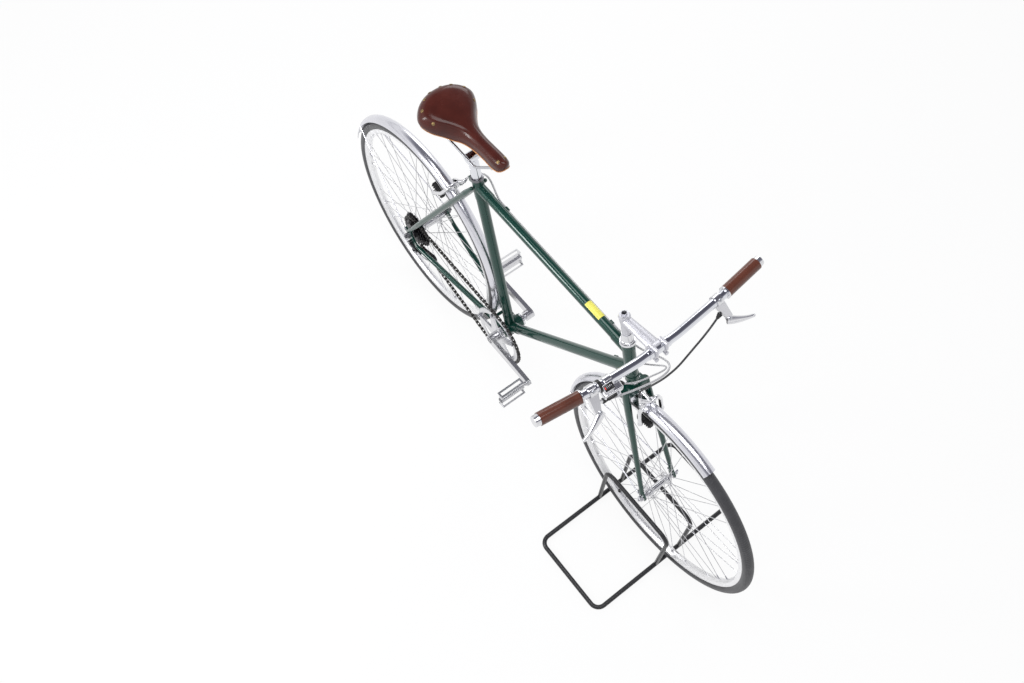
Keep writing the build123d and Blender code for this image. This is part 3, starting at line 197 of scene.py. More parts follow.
class Finish(Shading):    # one material and its shader
    def __init__(self, name, constants):
        self.material = bpy.data.materials.new(name)
        self.material.use_nodes = True
        super().__init__(self.material.node_tree)
        self.shader = self.tree.nodes["Principled BSDF"]
        for socket, value in constants.items():
            self.shader.inputs[socket].default_value = value

    def set(self, socket, value):
        self.feed(self.shader.inputs[socket], value)
        return self

    def place(self):
        return self.node("TexCoord", output="Object")

    def noise(self, scale, detail=3.0):
        return self.node("TexNoise", {}, {"Vector": self.place(), "Scale": scale, "Detail": detail})

    def aboutAxle(self, axle):    # how far a point is along, beside, above and in all from an axle
        spot = self.node("VectorMath", {"operation": "SUBTRACT"}, {0: self.place(), 1: tuple(axle)})
        split = self.node("SeparateXYZ", {}, {0: spot}).socket.node
        along, side, up = (Wave(self.tree, split.outputs[key]) for key in "XYZ")
        return along, side, up, (along * along + up * up) ** 0.5

    def bump(self, height, strength, distance):
        sockets = {"Height": height, "Strength": strength, "Distance": distance}
        return self.set("Normal", self.node("Bump", {}, sockets))


def shade(red, green, blue):
    return (red, green, blue, 1.0)


def toned(colour, share, lift=0.0):    # the same shade, darker or lighter
    return shade(*(min(1.0, value * share + lift) for value in colour[:3]))


def metalFinish(name, colour, rough, grain, spread):    # a bare metal with a fine uneven polish
    made = Finish(name, {"Metallic": 1.0})
    made.set("Base Color", made.blendColours(made.noise(30, 3), toned(colour, 0.90), colour))
    made.set("Roughness", made.noise(grain, 3) * spread + (rough - spread / 2))
    return made


def turnedFinish(name, colour, rough, axle):    # metal with the fine rings that a lathe leaves round an axle
    made = Finish(name, {"Metallic": 0.8})
    radius = made.aboutAxle(axle)[3]
    made.set("Base Color", made.blendColours(made.noise(8, 2), toned(colour, 0.93), colour))
    made.set("Roughness", (radius * 9000).sine() * 0.03 + rough)
    return made


def paintFinish():    # dark green flake paint under clear lacquer
    made = Finish("greenPaint", {"Coat Roughness": 0.02, "Coat Weight": 0.7, "Specular IOR Level": 0.2})
    flakes = made.noise(1400, 1)
    deep = made.blendColours(flakes, shade(0.0015, 0.030, 0.022), shade(0.005, 0.058, 0.042))
    made.set("Base Color", made.blendColours(made.noise(5, 2), deep, shade(0.002, 0.038, 0.028)))
    made.set("Metallic", flakes * 0.2 + 0.15)
    made.set("Roughness", made.noise(14, 3) * 0.06 + 0.25)
    return made


def rubberFinish(name, colour, rough, scale, depth):
    made = Finish(name, {"Specular IOR Level": 0.4})
    made.set("Base Color", made.blendColours(made.noise(40, 4), colour, toned(colour, 1.5, 0.004)))
    made.set("Roughness", made.noise(25, 3) * 0.15 + (rough - 0.07))
    return made.bump(made.noise(scale, 2), 0.4, depth)


tread = {
    "innerRadius": 0.333, "count": 300, "slant": 260, "ribs": 1900,
    "dark": shade(0.030, 0.030, 0.033), "light": shade(0.066, 0.066, 0.072),
}


def tyreFinish(name, axle):    # fine file tread round the crown, smooth walls
    made = Finish(name, {"Specular IOR Level": 0.4})
    along, side, up, radius = made.aboutAxle(axle)
    crown = radius > tread["innerRadius"]
    around = up.maths("ARCTAN2", up, along) * tread["count"]
    blocks = (around + side.maths("ABSOLUTE", side) * tread["slant"]).sine()
    ribs = side * tread["ribs"]
    pattern = (blocks * 0.6 + ribs.maths("COSINE", ribs) * 0.6) * crown
    made.set("Base Color", made.blendColours(made.noise(30, 4), tread["dark"], tread["light"]))
    made.set("Roughness", made.noise(22, 3) * 0.16 + 0.30 + crown * 0.06)
    return made.bump(pattern + made.noise(600, 2) * 0.3, 0.5, 0.0006)


def leatherFinish(name, dark, light, rough, grain, gloss, depth):
    made = Finish(name, {"Coat Roughness": 0.08, "Coat Weight": gloss, "Specular IOR Level": 0.16})
    patches = made.noise(18, 4)
    edges = {"feature": "DISTANCE_TO_EDGE"}
    cells = made.node("TexVoronoi", edges, {"Vector": made.place(), "Scale": grain})
    made.set("Base Color", made.blendColours(patches * 1.5 - 0.25, dark, light))
    made.set("Roughness", patches * 0.18 + (rough - 0.09))
    return made.bump(cells * 1.6 + made.noise(grain * 1.4, 2) * 0.4, 0.25, depth)


finishes = {
    "green": paintFinish(),
    "silver": metalFinish("silver", shade(0.78, 0.78, 0.80), 0.17, 90, 0.06),
    "chrome": metalFinish("chrome", shade(0.76, 0.76, 0.81), 0.24, 9, 0.03),
    "barChrome": metalFinish("barChrome", shade(0.78, 0.79, 0.83), 0.07, 12, 0.03),
    "frontRimSilver": turnedFinish("frontRimSilver", shade(0.90, 0.90, 0.91), 0.36, frontAxle),
    "rearRimSilver": turnedFinish("rearRimSilver", shade(0.90, 0.90, 0.91), 0.36, rearAxle),
    "satin": metalFinish("satin", shade(0.64, 0.64, 0.68), 0.44, 60, 0.05),
    "alloy": metalFinish("alloy", shade(0.70, 0.70, 0.72), 0.22, 40, 0.05),
    "spokeSteel": metalFinish("spokeSteel", shade(0.62, 0.62, 0.64), 0.28, 60, 0.06),
    "steel": metalFinish("steel", shade(0.56, 0.57, 0.60), 0.24, 60, 0.08),
    "darkSteel": metalFinish("darkSteel", shade(0.20, 0.20, 0.215), 0.30, 70, 0.12),
    "blackSteel": metalFinish("blackSteel", shade(0.060, 0.060, 0.066), 0.34, 90, 0.16),
    "chainSteel": metalFinish("chainSteel", shade(0.075, 0.072, 0.070), 0.33, 90, 0.16),
    "copper": metalFinish("copper", shade(0.26, 0.18, 0.085), 0.40, 90, 0.12),
    "blackRubber": rubberFinish("blackRubber", shade(0.012, 0.012, 0.013), 0.55, 500, 0.0003),
    "blackPlastic": rubberFinish("blackPlastic", shade(0.010, 0.010, 0.011), 0.28, 300, 0.0001),
    "frontTyreRubber": tyreFinish("frontTyreRubber", frontAxle),
    "rearTyreRubber": tyreFinish("rearTyreRubber", rearAxle),
    "cableGrey": rubberFinish("cableGrey", shade(0.38, 0.38, 0.39), 0.28, 300, 0.0002),
    "cableBlack": rubberFinish("cableBlack", shade(0.030, 0.030, 0.032), 0.30, 300, 0.0002),
    "standBlack": rubberFinish("standBlack", shade(0.016, 0.016, 0.018), 0.34, 260, 0.0002),
    "saddleLeather": leatherFinish("saddleLeather", shade(0.034, 0.0070, 0.0052),
                                   shade(0.078, 0.0150, 0.0100), 0.26, 520, 0.26, 0.0003),
    "gripLeather": leatherFinish("gripLeather", shade(0.060, 0.016, 0.009), shade(0.125, 0.036, 0.020),
                                 0.36, 380, 0.7, 0.0006),
    "cutLeather": leatherFinish("cutLeather", shade(0.40, 0.17, 0.06), shade(0.58, 0.28, 0.11),
                                0.6, 300, 0.1, 0.0004),
    "thread": rubberFinish("thread", shade(0.20, 0.11, 0.06), 0.7, 900, 0.0002),
    "yellow": rubberFinish("yellow", shade(0.60, 0.56, 0.10), 0.30, 300, 0.0001),
    "red": rubberFinish("red", shade(0.80, 0.03, 0.02), 0.30, 300, 0.0001),
}

finishOf = {
    "green": ["head_tube", "top_tube", "down_tube", "seat_tube", "bottom_bracket_shell", "chainstay_left",
              "chainstay_right", "seatstay_left", "seatstay_right", "stay_bridges", "fork"],
    "silver": ["headset_cups", "headset_nut", "brake_lever_left", "brake_lever_right", "rear_brake",
               "front_brake", "bottom_bracket_cups", "shifter", "grip_rings", "front_axle"],
    "alloy": ["front_hub", "rear_hub", "crank_left", "crank_right", "chainrings", "pedal_left",
              "pedal_right"],
    "spokeSteel": ["front_spokes", "rear_spokes"],
    "barChrome": ["handlebar", "seatpost"],
    "satin": ["stem"],
    "frontRimSilver": ["front_rim"],
    "rearRimSilver": ["rear_rim"],
    "chrome": ["front_mudguard", "rear_mudguard", "front_mudguard_stays", "rear_mudguard_stays"],
    "steel": ["bottom_bracket_spindle", "saddle_frame"],
    "darkSteel": ["rear_axle"],
    "blackSteel": ["rear_derailleur", "cassette"],
    "chainSteel": ["chain"],
    "blackRubber": ["front_brake_pads", "rear_brake_pads", "cable_guide"],
    "frontTyreRubber": ["front_tyre"],
    "rearTyreRubber": ["rear_tyre"],
    "cableGrey": ["brake_cable_rear", "gear_cable_rear", "brake_cable_loop", "gear_cable_loop"],
    "cableBlack": ["brake_cable_front"],
    "standBlack": ["stand"],
    "saddleLeather": ["saddle_cover"],
    "gripLeather": ["grip_left", "grip_right"],
}
for finish, names in finishOf.items():
    for name in names:
        data = nodes[name].data
        data.materials.clear()
        data.materials.append(finishes[finish].material)
bare = sorted(set(nodes) - {name for names in finishOf.values() for name in names})
print("finishes set; nodes without one:", bare)


# helpers for new pieces
def addObject(name, data, finish):
    made = linked(name, data)
    data.materials.clear()
    data.materials.append(finishes[finish].material)
    return made


def settle(piece):    # turns a curve or a modified mesh into a plain mesh with its place in its points
    bpy.context.view_layer.update()
    graph = bpy.context.evaluated_depsgraph_get()
    data = bpy.data.meshes.new_from_object(piece.evaluated_get(graph), depsgraph=graph)
    data.transform(piece.matrix_world)
    name = piece.name
    finish = [slot.material for slot in piece.material_slots]
    bpy.data.objects.remove(piece)
    made = linked(name, data)
    if not data.materials:
        for material in finish:
            data.materials.append(material)
    return made


def finishPiece(piece, body, slot, *replaced):
    if body:
        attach(piece, body)
    if replaced:
        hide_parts(*replaced)
    return piece


def smoothCable(name, points, radius, finish):
    data = bpy.data.curves.new(name, "CURVE")
    data.dimensions = "3D"
    data.bevel_depth = radius
    data.bevel_resolution = 4
    data.resolution_u = 10
    data.use_fill_caps = True
    spline = data.splines.new("NURBS")
    spline.points.add(len(points) - 1)
    for spot, place in zip(spline.points, points):
        spot.co = (*place, 1.0)
    spline.order_u = 3
    spline.use_endpoint_u = True
    piece = addObject(name, data, finish)
    return settle(piece)


# cables that cross the steering
cables = {
    "brakeRadius": 0.0025,
    "gearRadius": 0.0021,
    "brakeRoute": [(0.9215, -0.161, 0.909), (0.926, -0.137, 0.900), (0.9295, -0.105, 0.884),
                   (0.931, -0.069, 0.862), (0.931, -0.027, 0.836), (0.931, 0.008, 0.820),
                   (0.926, 0.040, 0.809), (0.911, 0.058, 0.799), (0.885, 0.057, 0.790),
                   (0.858, 0.041, 0.788), (0.824, 0.025, 0.796), (0.792, 0.0165, 0.808),
                   (0.757, 0.0165, 0.808)],
    "brakeBend": ((0.921, 0.0165, 0.808), (0.800, 0.0165, 0.808)),    # the bend starts clear of the lever
    "gearRoute": [(0.911, -0.103, 0.899), (0.914, -0.088, 0.884), (0.9165, -0.062, 0.860),
                  (0.9175, -0.034, 0.842), (0.917, -0.006, 0.825), (0.917, 0.024, 0.806),
                  (0.913, 0.050, 0.788), (0.901, 0.058, 0.771), (0.884, 0.051, 0.753),
                  (0.860, 0.036, 0.739), (0.833, 0.023, 0.727), (0.8126, 0.0179, 0.7089),
                  (0.7918, 0.0179, 0.6882)],
    "gearBend": ((0.917, 0.030, 0.806), (0.835, 0.024, 0.727)),    # the bend ends clear of the lug
}
for key, node in (("brake", "brake_cable_loop"), ("gear", "gear_cable_loop")):
    route = [fromRear(*place) for place in cables[key + "Route"]]
    cableLoop = smoothCable(key + "CableLoop", route, cables[key + "Radius"], "cableGrey")
    bendStart, bendEnd = (fromRear(*place) for place in cables[key + "Bend"])
    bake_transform(cableLoop)
    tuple(bendStart)
    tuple(bendEnd)
    finishPiece(cableLoop, None, "cable_grey", node)
print("cables done")


# shape helpers
class Shape:    # gathers the closed solids of one piece
    def __init__(self):
        self.mesh = bmesh.new()

    def turned(self, start, way, stations, sides=20):    # a lathe shape: (distance, radius) along a line
        way = Vector(way).normalized()
        first = way.orthogonal().normalized()
        second = way.cross(first)
        rings = []
        for distance, radius in stations:
            centre = Vector(start) + way * distance
            ring = []
            for i in range(sides):
                turn = 2 * math.pi * i / sides
                out = first * math.cos(turn) + second * math.sin(turn)
                ring.append(self.mesh.verts.new(centre + radius * out))
            rings.append(ring)
        for low, high in zip(rings, rings[1:]):
            for i in range(sides):
                self.mesh.faces.new((low[i - 1], low[i], high[i], high[i - 1]))
        self.mesh.faces.new(rings[0][::-1])
        self.mesh.faces.new(rings[-1])
        return self

    def block(self, centre, along, up, size, edge):    # a rounded box; size runs along, across and up
        along, up = Vector(along).normalized(), Vector(up).normalized()
        across = up.cross(along).normalized()
        up = along.cross(across)
        turn = Matrix((along, across, up)).transposed().to_4x4()
        place = Matrix.Translation(Vector(centre)) @ turn @ Matrix.Diagonal((*size, 1))
        made = bmesh.ops.create_cube(self.mesh, size=1.0, matrix=place)
        edges = {link for corner in made["verts"] for link in corner.link_edges}
        bmesh.ops.bevel(self.mesh, geom=list(edges), offset=edge, segments=2, profile=0.5,
                        affect="EDGES")
        return self

    def make(self, name, finish):
        data = meshFrom(self.mesh, name)
        smoothOver(data)
        return addObject(name, data, finish)


def meshFrom(shape, name):
    bmesh.ops.recalc_face_normals(shape, faces=shape.faces)
    data = bpy.data.meshes.new(name)
    shape.to_mesh(data)
    shape.free()
    return data


def smoothOver(data, crease=40):
    data.shade_smooth()
    data.set_sharp_from_angle(angle=math.radians(crease))


def through(stations, at):    # a smooth value through (place, value) stations
    places = [place for place, _ in stations]
    values = [value for _, value in stations]
    if at <= places[0]:
        return values[0]
    if at >= places[-1]:
        return values[-1]
    i = next(k for k in range(len(places) - 1) if at <= places[k + 1])
    slopes = []
    for k in (i, i + 1):
        if k in (0, len(places) - 1):
            near = min(max(k, 1), len(places) - 1)
            slopes.append((values[near] - values[near - 1]) / (places[near] - places[near - 1]))
        else:
            slopes.append((values[k + 1] - values[k - 1]) / (places[k + 1] - places[k - 1]))
    span = places[i + 1] - places[i]
    t = (at - places[i]) / span
    return ((2 * t ** 3 - 3 * t ** 2 + 1) * values[i] + (t ** 3 - 2 * t ** 2 + t) * span * slopes[0]
            + (3 * t ** 2 - 2 * t ** 3) * values[i + 1] + (t ** 3 - t ** 2) * span * slopes[1])


class Growth:    # one geometry node tree, with named inputs for its sizes
    def __init__(self, name, sizes):
        self.tree = bpy.data.node_groups.new(name, "GeometryNodeTree")
        self.sizes, self.keys = sizes, {}
        face = self.tree.interface
        face.new_socket("Geometry", in_out="INPUT", socket_type="NodeSocketGeometry")
        for key, value in sizes.items():
            kind = "NodeSocketInt" if isinstance(value, int) else "NodeSocketFloat"
            self.keys[key] = face.new_socket(key, in_out="INPUT", socket_type=kind).identifier
        kind = "NodeSocketMaterial"
        self.keys["Finish"] = face.new_socket("Finish", in_out="INPUT", socket_type=kind).identifier
        face.new_socket("Geometry", in_out="OUTPUT", socket_type="NodeSocketGeometry")
        self.given = self.tree.nodes.new("NodeGroupInput").outputs

    def node(self, kind, settings=None, sockets=None, output=0):
        made = self.tree.nodes.new(kind)
        for key, value in (settings or {}).items():
            setattr(made, key, value)
        for key, value in (sockets or {}).items():
            for item in value if isinstance(value, list) else [value]:
                if isinstance(item, bpy.types.NodeSocket):
                    self.tree.links.new(item, made.inputs[key])
                else:
                    made.inputs[key].default_value = item
        return made.outputs[output]

    def maths(self, operation, first, second=0.0):
        return self.node("ShaderNodeMath", {"operation": operation}, {0: first, 1: second})

    def vector(self, x=0.0, y=0.0, z=0.0):
        return self.node("ShaderNodeCombineXYZ", {}, {"X": x, "Y": y, "Z": z})

    def rod(self, sides, radius, depth, shift=None, scale=None):
        sockets = {"Vertices": sides, "Radius": radius, "Depth": depth}
        return self.moved(self.node("GeometryNodeMeshCylinder", {}, sockets), shift, scale)

    def cone(self, sides, top, bottom, depth):
        return self.node("GeometryNodeMeshCone", {}, {"Vertices": sides, "Radius Top": top,
                                                      "Radius Bottom": bottom, "Depth": depth})

    def moved(self, geometry, shift=None, scale=None):
        if shift is None and scale is None:
            return geometry
        sockets = {"Geometry": geometry, "Translation": shift or (0, 0, 0), "Scale": scale or (1, 1, 1)}
        return self.node("GeometryNodeTransform", {}, sockets)

    def join(self, *parts):
        return self.node("GeometryNodeJoinGeometry", {}, {"Geometry": list(parts)})

    def strew(self, shape, axis="Z", pivot="AUTO", chosen=True):    # one shape on each point, turned
        aim = self.node("GeometryNodeInputNamedAttribute", {"data_type": "FLOAT_VECTOR"}, {"Name": "aim"})
        turning = {"axis": axis, "pivot_axis": pivot}
        spin = self.node("FunctionNodeAlignRotationToVector", turning, {"Vector": aim})
        points = self.node("GeometryNodeMeshToPoints", {}, {"Mesh": self.given["Geometry"]})
        sockets = {"Points": points, "Selection": chosen, "Instance": shape, "Rotation": spin}
        return self.node("GeometryNodeInstanceOnPoints", {}, sockets)

    def close(self, geometry):
        whole = self.node("GeometryNodeRealizeInstances", {}, {"Geometry": geometry})
        sockets = {"Geometry": whole, "Material": self.given["Finish"]}
        dressed = self.node("GeometryNodeSetMaterial", {}, sockets)
        self.tree.links.new(dressed, self.tree.nodes.new("NodeGroupOutput").inputs[0])
        return self

    def grow(self, name, finish, places, aims, **sizes):    # runs the tree on points and keeps a plain mesh
        data = bpy.data.meshes.new(name)
        data.from_pydata([tuple(place) for place in places], [], [])
        attribute = data.attributes.new("aim", "FLOAT_VECTOR", "POINT")
        for item, aim in zip(attribute.data, aims):
            item.vector = aim
        piece = linked(name, data)
        growing = piece.modifiers.new("growth", "NODES")
        growing.node_group = self.tree
        for key, value in {**self.sizes, **sizes}.items():
            growing[self.keys[key]] = value
        growing[self.keys["Finish"]] = finishes[finish].material
        made = settle(piece)
        smoothOver(made.data)
        return made


def studGrowth():    # a low dome, half sunk
    made = Growth("studs", {"Radius": 0.003, "Height": 0.0012})
    sockets = {"Segments": 14, "Rings": 8, "Radius": made.given["Radius"]}
    ball = made.node("GeometryNodeMeshUVSphere", {}, sockets)
    flat = made.maths("DIVIDE", made.given["Height"], made.given["Radius"])
    return made.close(made.strew(made.moved(ball, None, made.vector(1.0, 1.0, flat))))


def boltGrowth():    # a hexagon head on a washer, with a chamfered top
    made = Growth("bolts", {"Radius": 0.004, "Height": 0.003})
    radius, height = made.given["Radius"], made.given["Height"]
    washer = made.rod(16, made.maths("MULTIPLY", radius, 1.35), made.maths("MULTIPLY", height, 0.36))
    head = made.rod(6, radius, height, made.vector(z=made.maths("MULTIPLY", height, 0.5)))
    top = made.cone(6, made.maths("MULTIPLY", radius, 0.78), radius, made.maths("MULTIPLY", height, 0.18))
    top = made.moved(top, made.vector(z=height))
    return made.close(made.strew(made.join(washer, head, top)))


def nippleGrowth():    # a spoke's nipple, wider where it sits in the rim
    made = Growth("nipples", {"Radius": 0.0021, "Length": 0.009})
    radius, length = made.given["Radius"], made.given["Length"]
    tip, foot = made.maths("MULTIPLY", radius, 1.25), made.maths("MULTIPLY", radius, 0.8)
    return made.close(made.strew(made.cone(8, tip, foot, length)))


def stitchGrowth():    # short threads lying along a seam
    made = Growth("stitches", {"Radius": 0.0006, "Length": 0.004})
    return made.close(made.strew(made.rod(6, made.given["Radius"], made.given["Length"])))


def linkGrowth():    # a roller chain: side plates, closer together on every second link, and rollers
    made = Growth("chainLinks", {"Pitch": 0.0127, "Height": 0.0088, "Waist": 0.0070, "Plate": 0.0011,
                                 "Inner": 0.0041, "Outer": 0.0063, "Roller": 0.0042})
    pitch, height, plate = made.given["Pitch"], made.given["Height"], made.given["Plate"]
    upright = made.node("FunctionNodeEulerToRotation", {}, {"Euler": (math.pi / 2, 0, 0)})
    half = made.maths("MULTIPLY", pitch, 0.5)
    end = made.rod(10, made.maths("MULTIPLY", height, 0.5), plate)
    bar = made.node("GeometryNodeMeshCube", {}, {"Size": made.vector(pitch, made.given["Waist"], plate)})
    flat = made.join(bar, made.moved(end, made.vector(half)),
                     made.moved(end, made.vector(made.maths("MULTIPLY", half, -1.0))))
    sides = made.node("GeometryNodeTransform", {}, {"Geometry": flat, "Rotation": upright})
    drum = made.rod(10, made.given["Roller"], made.given["Outer"])
    sockets = {"Geometry": drum, "Rotation": upright, "Translation": made.vector(half)}
    roller = made.node("GeometryNodeTransform", {}, sockets)
    number = made.node("GeometryNodeInputIndex")
    odd = made.maths("MODULO", number, 2.0)
    strewn = []
    for key, chosen in (("Inner", odd), ("Outer", made.maths("SUBTRACT", 1.0, odd))):
        gap = made.maths("MULTIPLY", made.given[key], 0.5)
        pair = [made.moved(sides, made.vector(y=gap)),
                made.moved(sides, made.vector(y=made.maths("MULTIPLY", gap, -1.0)))]
        strewn.append(made.strew(made.join(*pair, roller), "X", "Y", chosen))
    return made.close(made.join(*strewn))


studs, bolts, nipples = studGrowth(), boltGrowth(), nippleGrowth()
stitches, links = stitchGrowth(), linkGrowth()
print("helpers ready")


# saddle
saddle = {
    "nose": 0.352, "length": 0.293, "top": 1.002, "side": 0.008,
    "noseRadius": 0.015, "rearDepth": 0.062,    # the rounded ends in plan
    "halfWidth": [(0.0, 0.0155), (0.10, 0.0190), (0.22, 0.0185), (0.36, 0.0200), (0.48, 0.0275),
                  (0.60, 0.0460), (0.70, 0.0680), (0.80, 0.0800), (0.90, 0.0810), (1.0, 0.0800)],
    "rise": [(0.0, -0.0030), (0.15, -0.0060), (0.45, -0.0100), (0.75, -0.0030), (0.90, 0.0), (1.0, 0.0)],
    "crown": [(0.0, 0.0030), (0.4, 0.0040), (0.8, 0.0070), (1.0, 0.0050)],
    "skirt": [(0.0, 0.010), (0.10, 0.014), (0.28, 0.013), (0.45, 0.010), (0.60, 0.009), (0.76, 0.009),
              (0.90, 0.008), (1.0, 0.007)],
    "flare": [(0.0, 0.0), (0.20, 0.001), (0.45, 0.002), (0.66, 0.0), (0.85, -0.004), (1.0, -0.004)],
    "shoulder": 0.030, "leather": 0.0045, "around": 120, "spine": (0.045, 0.012),
    "outSteps": [0.0, 0.12, 0.28, 0.44, 0.58, 0.70, 0.79, 0.86, 0.91, 0.95, 0.98, 1.0],
    "downSteps": [0.12, 0.3, 0.5, 0.7, 0.88, 1.0],
    # rivets as shares of the length from the nose and of the way from the spine to the edge
    "rivets": [(0.994, 0.84), (0.955, 0.80), (0.870, 0.84), (0.715, 0.87), (0.055, 0.62)],
    "rivetRadius": 0.0046, "rivetHeight": 0.0013,
    "bead": {"sides": 8, "inset": 0.0006, "wide": 0.0016, "thick": 0.0014},    # the leather's pale cut edge
}


def saddleOutline(turn):    # one point of the leather's edge in plan, turn running once round from the nose
    folded = turn if turn <= 0.5 else 1 - turn
    share = (1 - math.cos(math.pi * folded * 2)) / 2    # 0 at the nose, 1 at the middle of the rear edge
    along = share * saddle["length"]
    half = through(saddle["halfWidth"], share)
    if along < saddle["noseRadius"]:
        half *= math.sqrt(max(0.0, 1 - (1 - along / saddle["noseRadius"]) ** 2))
    left = saddle["length"] - along
    if left < saddle["rearDepth"]:
        half *= math.sqrt(max(0.0, 1 - (1 - left / saddle["rearDepth"]) ** 2))
    return share, along, half * (1 if turn <= 0.5 else -1)


# out runs from the spine to the edge, down from the edge to the skirt's foot
def saddlePoint(turn, out, down):
    share, along, side = saddleOutline(turn)
    rear, front = saddle["spine"]
    spine = front + (saddle["length"] - front - rear) * share
    offset = Vector((spine - along, side))    # from the spine to the edge, ahead and to the left
    reach = max(offset.length, 1e-6)
    outward = offset / reach
    width = through(saddle["halfWidth"], share)
    shoulder = min(saddle["shoulder"], reach * 0.75)
    travel = out * reach
    bend = max(0.0, travel - (reach - shoulder)) / shoulder
    fall = through(saddle["crown"], share) * min(1.0, travel / width) ** 2
    fall += shoulder * (1 - math.sqrt(max(0.0, 1 - bend ** 2)))
    fall += through(saddle["skirt"], share) * down
    flare = through(saddle["flare"], share) * down ** 1.5
    middle = share + (spine / saddle["length"] - share) * (1 - out)
    height = saddle["top"] + through(saddle["rise"], middle) - fall
    plan = Vector((-spine, 0)) + outward * (travel + flare)
    return fromRear(saddle["nose"] + plan.x, saddle["side"] + plan.y, height)


skin = bmesh.new()
columns = []
for i in range(saddle["around"]):
    turn = (i + 0.5) / saddle["around"]
    columns.append([skin.verts.new(saddlePoint(turn, out, 0.0)) for out in saddle["outSteps"]]
                   + [skin.verts.new(saddlePoint(turn, 1.0, down)) for down in saddle["downSteps"]])
for one, other in zip(columns[-1:] + columns[:-1], columns):
    for j in range(len(one) - 1):
        skin.faces.new((one[j], other[j], other[j + 1], one[j + 1]))
half = saddle["around"] // 2
for i in range(half - 1):    # the strip along the spine joins the two sides
    skin.faces.new((columns[i][0], columns[i + 1][0], columns[-i - 2][0], columns[-i - 1][0]))
bmesh.ops.remove_doubles(skin, verts=skin.verts, dist=0.00005)
data = meshFrom(skin, "saddleLeather")
if sum(face.normal.z * face.area for face in data.polygons) < 0:
    data.flip_normals()
cover = addObject("saddleLeather", data, "saddleLeather")
data.materials.append(finishes["cutLeather"].material)
wall = cover.modifiers.new("wall", "SOLIDIFY")
wall.thickness, wall.offset, wall.use_even_offset = saddle["leather"], -1, False
wall.material_offset_rim = 1    # the cut leather shows on the rim
rounded = cover.modifiers.new("rounded", "SUBSURF")
rounded.levels = rounded.render_levels = 1
cover = settle(cover)
cover.data.shade_smooth()
finishPiece(cover, "frame", "saddle_leather", "saddle_cover")
rivets, aims = [], []
for share, out in saddle["rivets"]:
    leftTurn = math.acos(1 - 2 * share) / (2 * math.pi)
    for turn in (leftTurn, 1 - leftTurn):
        around = saddlePoint(turn + 0.004, out, 0.0) - saddlePoint(turn - 0.004, out, 0.0)
        outward = saddlePoint(turn, out + 0.03, 0.0) - saddlePoint(turn, out - 0.03, 0.0)
        aim = around.cross(outward).normalized()
        rivets.append(saddlePoint(turn, out, 0.0))
        aims.append(aim if aim.z > 0 else -aim)
rivetPiece = studs.grow("saddleRivets", "copper", rivets, aims, Radius=saddle["rivetRadius"],
                        Height=saddle["rivetHeight"])
finishPiece(rivetPiece, "frame", "polished_metal")

edge, foot, bead = bmesh.new(), [], saddle["bead"]
saddleMiddle = fromRear(saddle["nose"] - saddle["length"] * 0.5, 0, 0).x
for i in range(saddle["around"]):
    turn = i / saddle["around"]
    low, high = saddlePoint(turn, 1.0, 1.0), saddlePoint(turn, 1.0, 0.9)
    along = (saddlePoint(turn + 0.002, 1.0, 1.0) - saddlePoint(turn - 0.002, 1.0, 1.0)).normalized()
    down = (low - high).normalized()
    out = down.cross(along).normalized()
    inward = Vector((saddleMiddle, 0, low.z)) - low
    out = out if out.dot(inward) < 0 else -out
    ring = []
    for j in range(bead["sides"]):
        angle = 2 * math.pi * j / bead["sides"]
        place = low + out * (bead["wide"] * math.cos(angle) - bead["inset"])
        ring.append(edge.verts.new(place + down * (bead["thick"] * math.sin(angle))))
    foot.append(ring)
for one, other in zip(foot[-1:] + foot[:-1], foot):
    for j in range(bead["sides"]):
        edge.faces.new((one[j - 1], other[j - 1], other[j], one[j]))
data = meshFrom(edge, "saddleEdge")
data.shade_smooth()
finishPiece(addObject("saddleEdge", data, "cutLeather"), "frame", "saddle_leather")
print("saddle done")

# chain
chain = {
    "pitch": 0.0127, "teeth": {"sprocket": 24, "ring": 48, "pulley": 10},
    "sprocket": (0.0, 0.342), "ring": (0.407, 0.293), "tension": (0.088, 0.297), "guide": (0.033, 0.2735),
}


def pitchRadius(teeth):
    return chain["pitch"] / (2 * math.sin(math.pi / teeth))


def chainPins():    # even steps along the straight runs and arcs, on the four toothed wheels in turn
    inTurn = (("sprocket", "sprocket", 1), ("ring", "ring", 1), ("tension", "pulley", 1),
              ("guide", "pulley", -1))    # each wheel's place, its teeth and which side the chain runs
    route = [(chain[name], pitchRadius(chain["teeth"][kind]), sense) for name, kind, sense in inTurn]
    legs, headings = [], []
    for i, (centre, radius, sense) in enumerate(route):
        ahead, nextRadius, nextSense = route[(i + 1) % len(route)]
        run = Vector(ahead) - Vector(centre)
        heading = math.atan2(run.y, run.x) - math.asin((radius * sense - nextRadius * nextSense) / run.length)
        left = Vector((-math.sin(heading), math.cos(heading)))
        headings.append(heading)
        legs.append((Vector(centre) + left * radius * sense, Vector(ahead) + left * nextRadius * nextSense))
    pieces = []
    for i, (centre, radius, sense) in enumerate(route):
        bend = (headings[i - 1] - headings[i]) * sense % (2 * math.pi)
        pieces.append((radius * bend, centre, radius, sense, headings[i - 1]))
        start, end = legs[i]
        pieces.append(((end - start).length, start, None, headings[i], None))
    total = sum(piece[0] for piece in pieces)
    count = 2 * round(total / chain["pitch"] / 2)
    for number in range(count):
        at = number * total / count
        for length, centre, radius, sense, before in pieces:
            if at <= length:
                break
            at -= length
        if radius:
            heading = before - sense * at / radius
            spot = Vector(centre) + Vector((-math.sin(heading), math.cos(heading))) * radius * sense
        else:
            spot = centre + Vector((math.cos(sense), math.sin(sense))) * at
        yield fromRear(spot.x, bike["chainY"], spot.y)


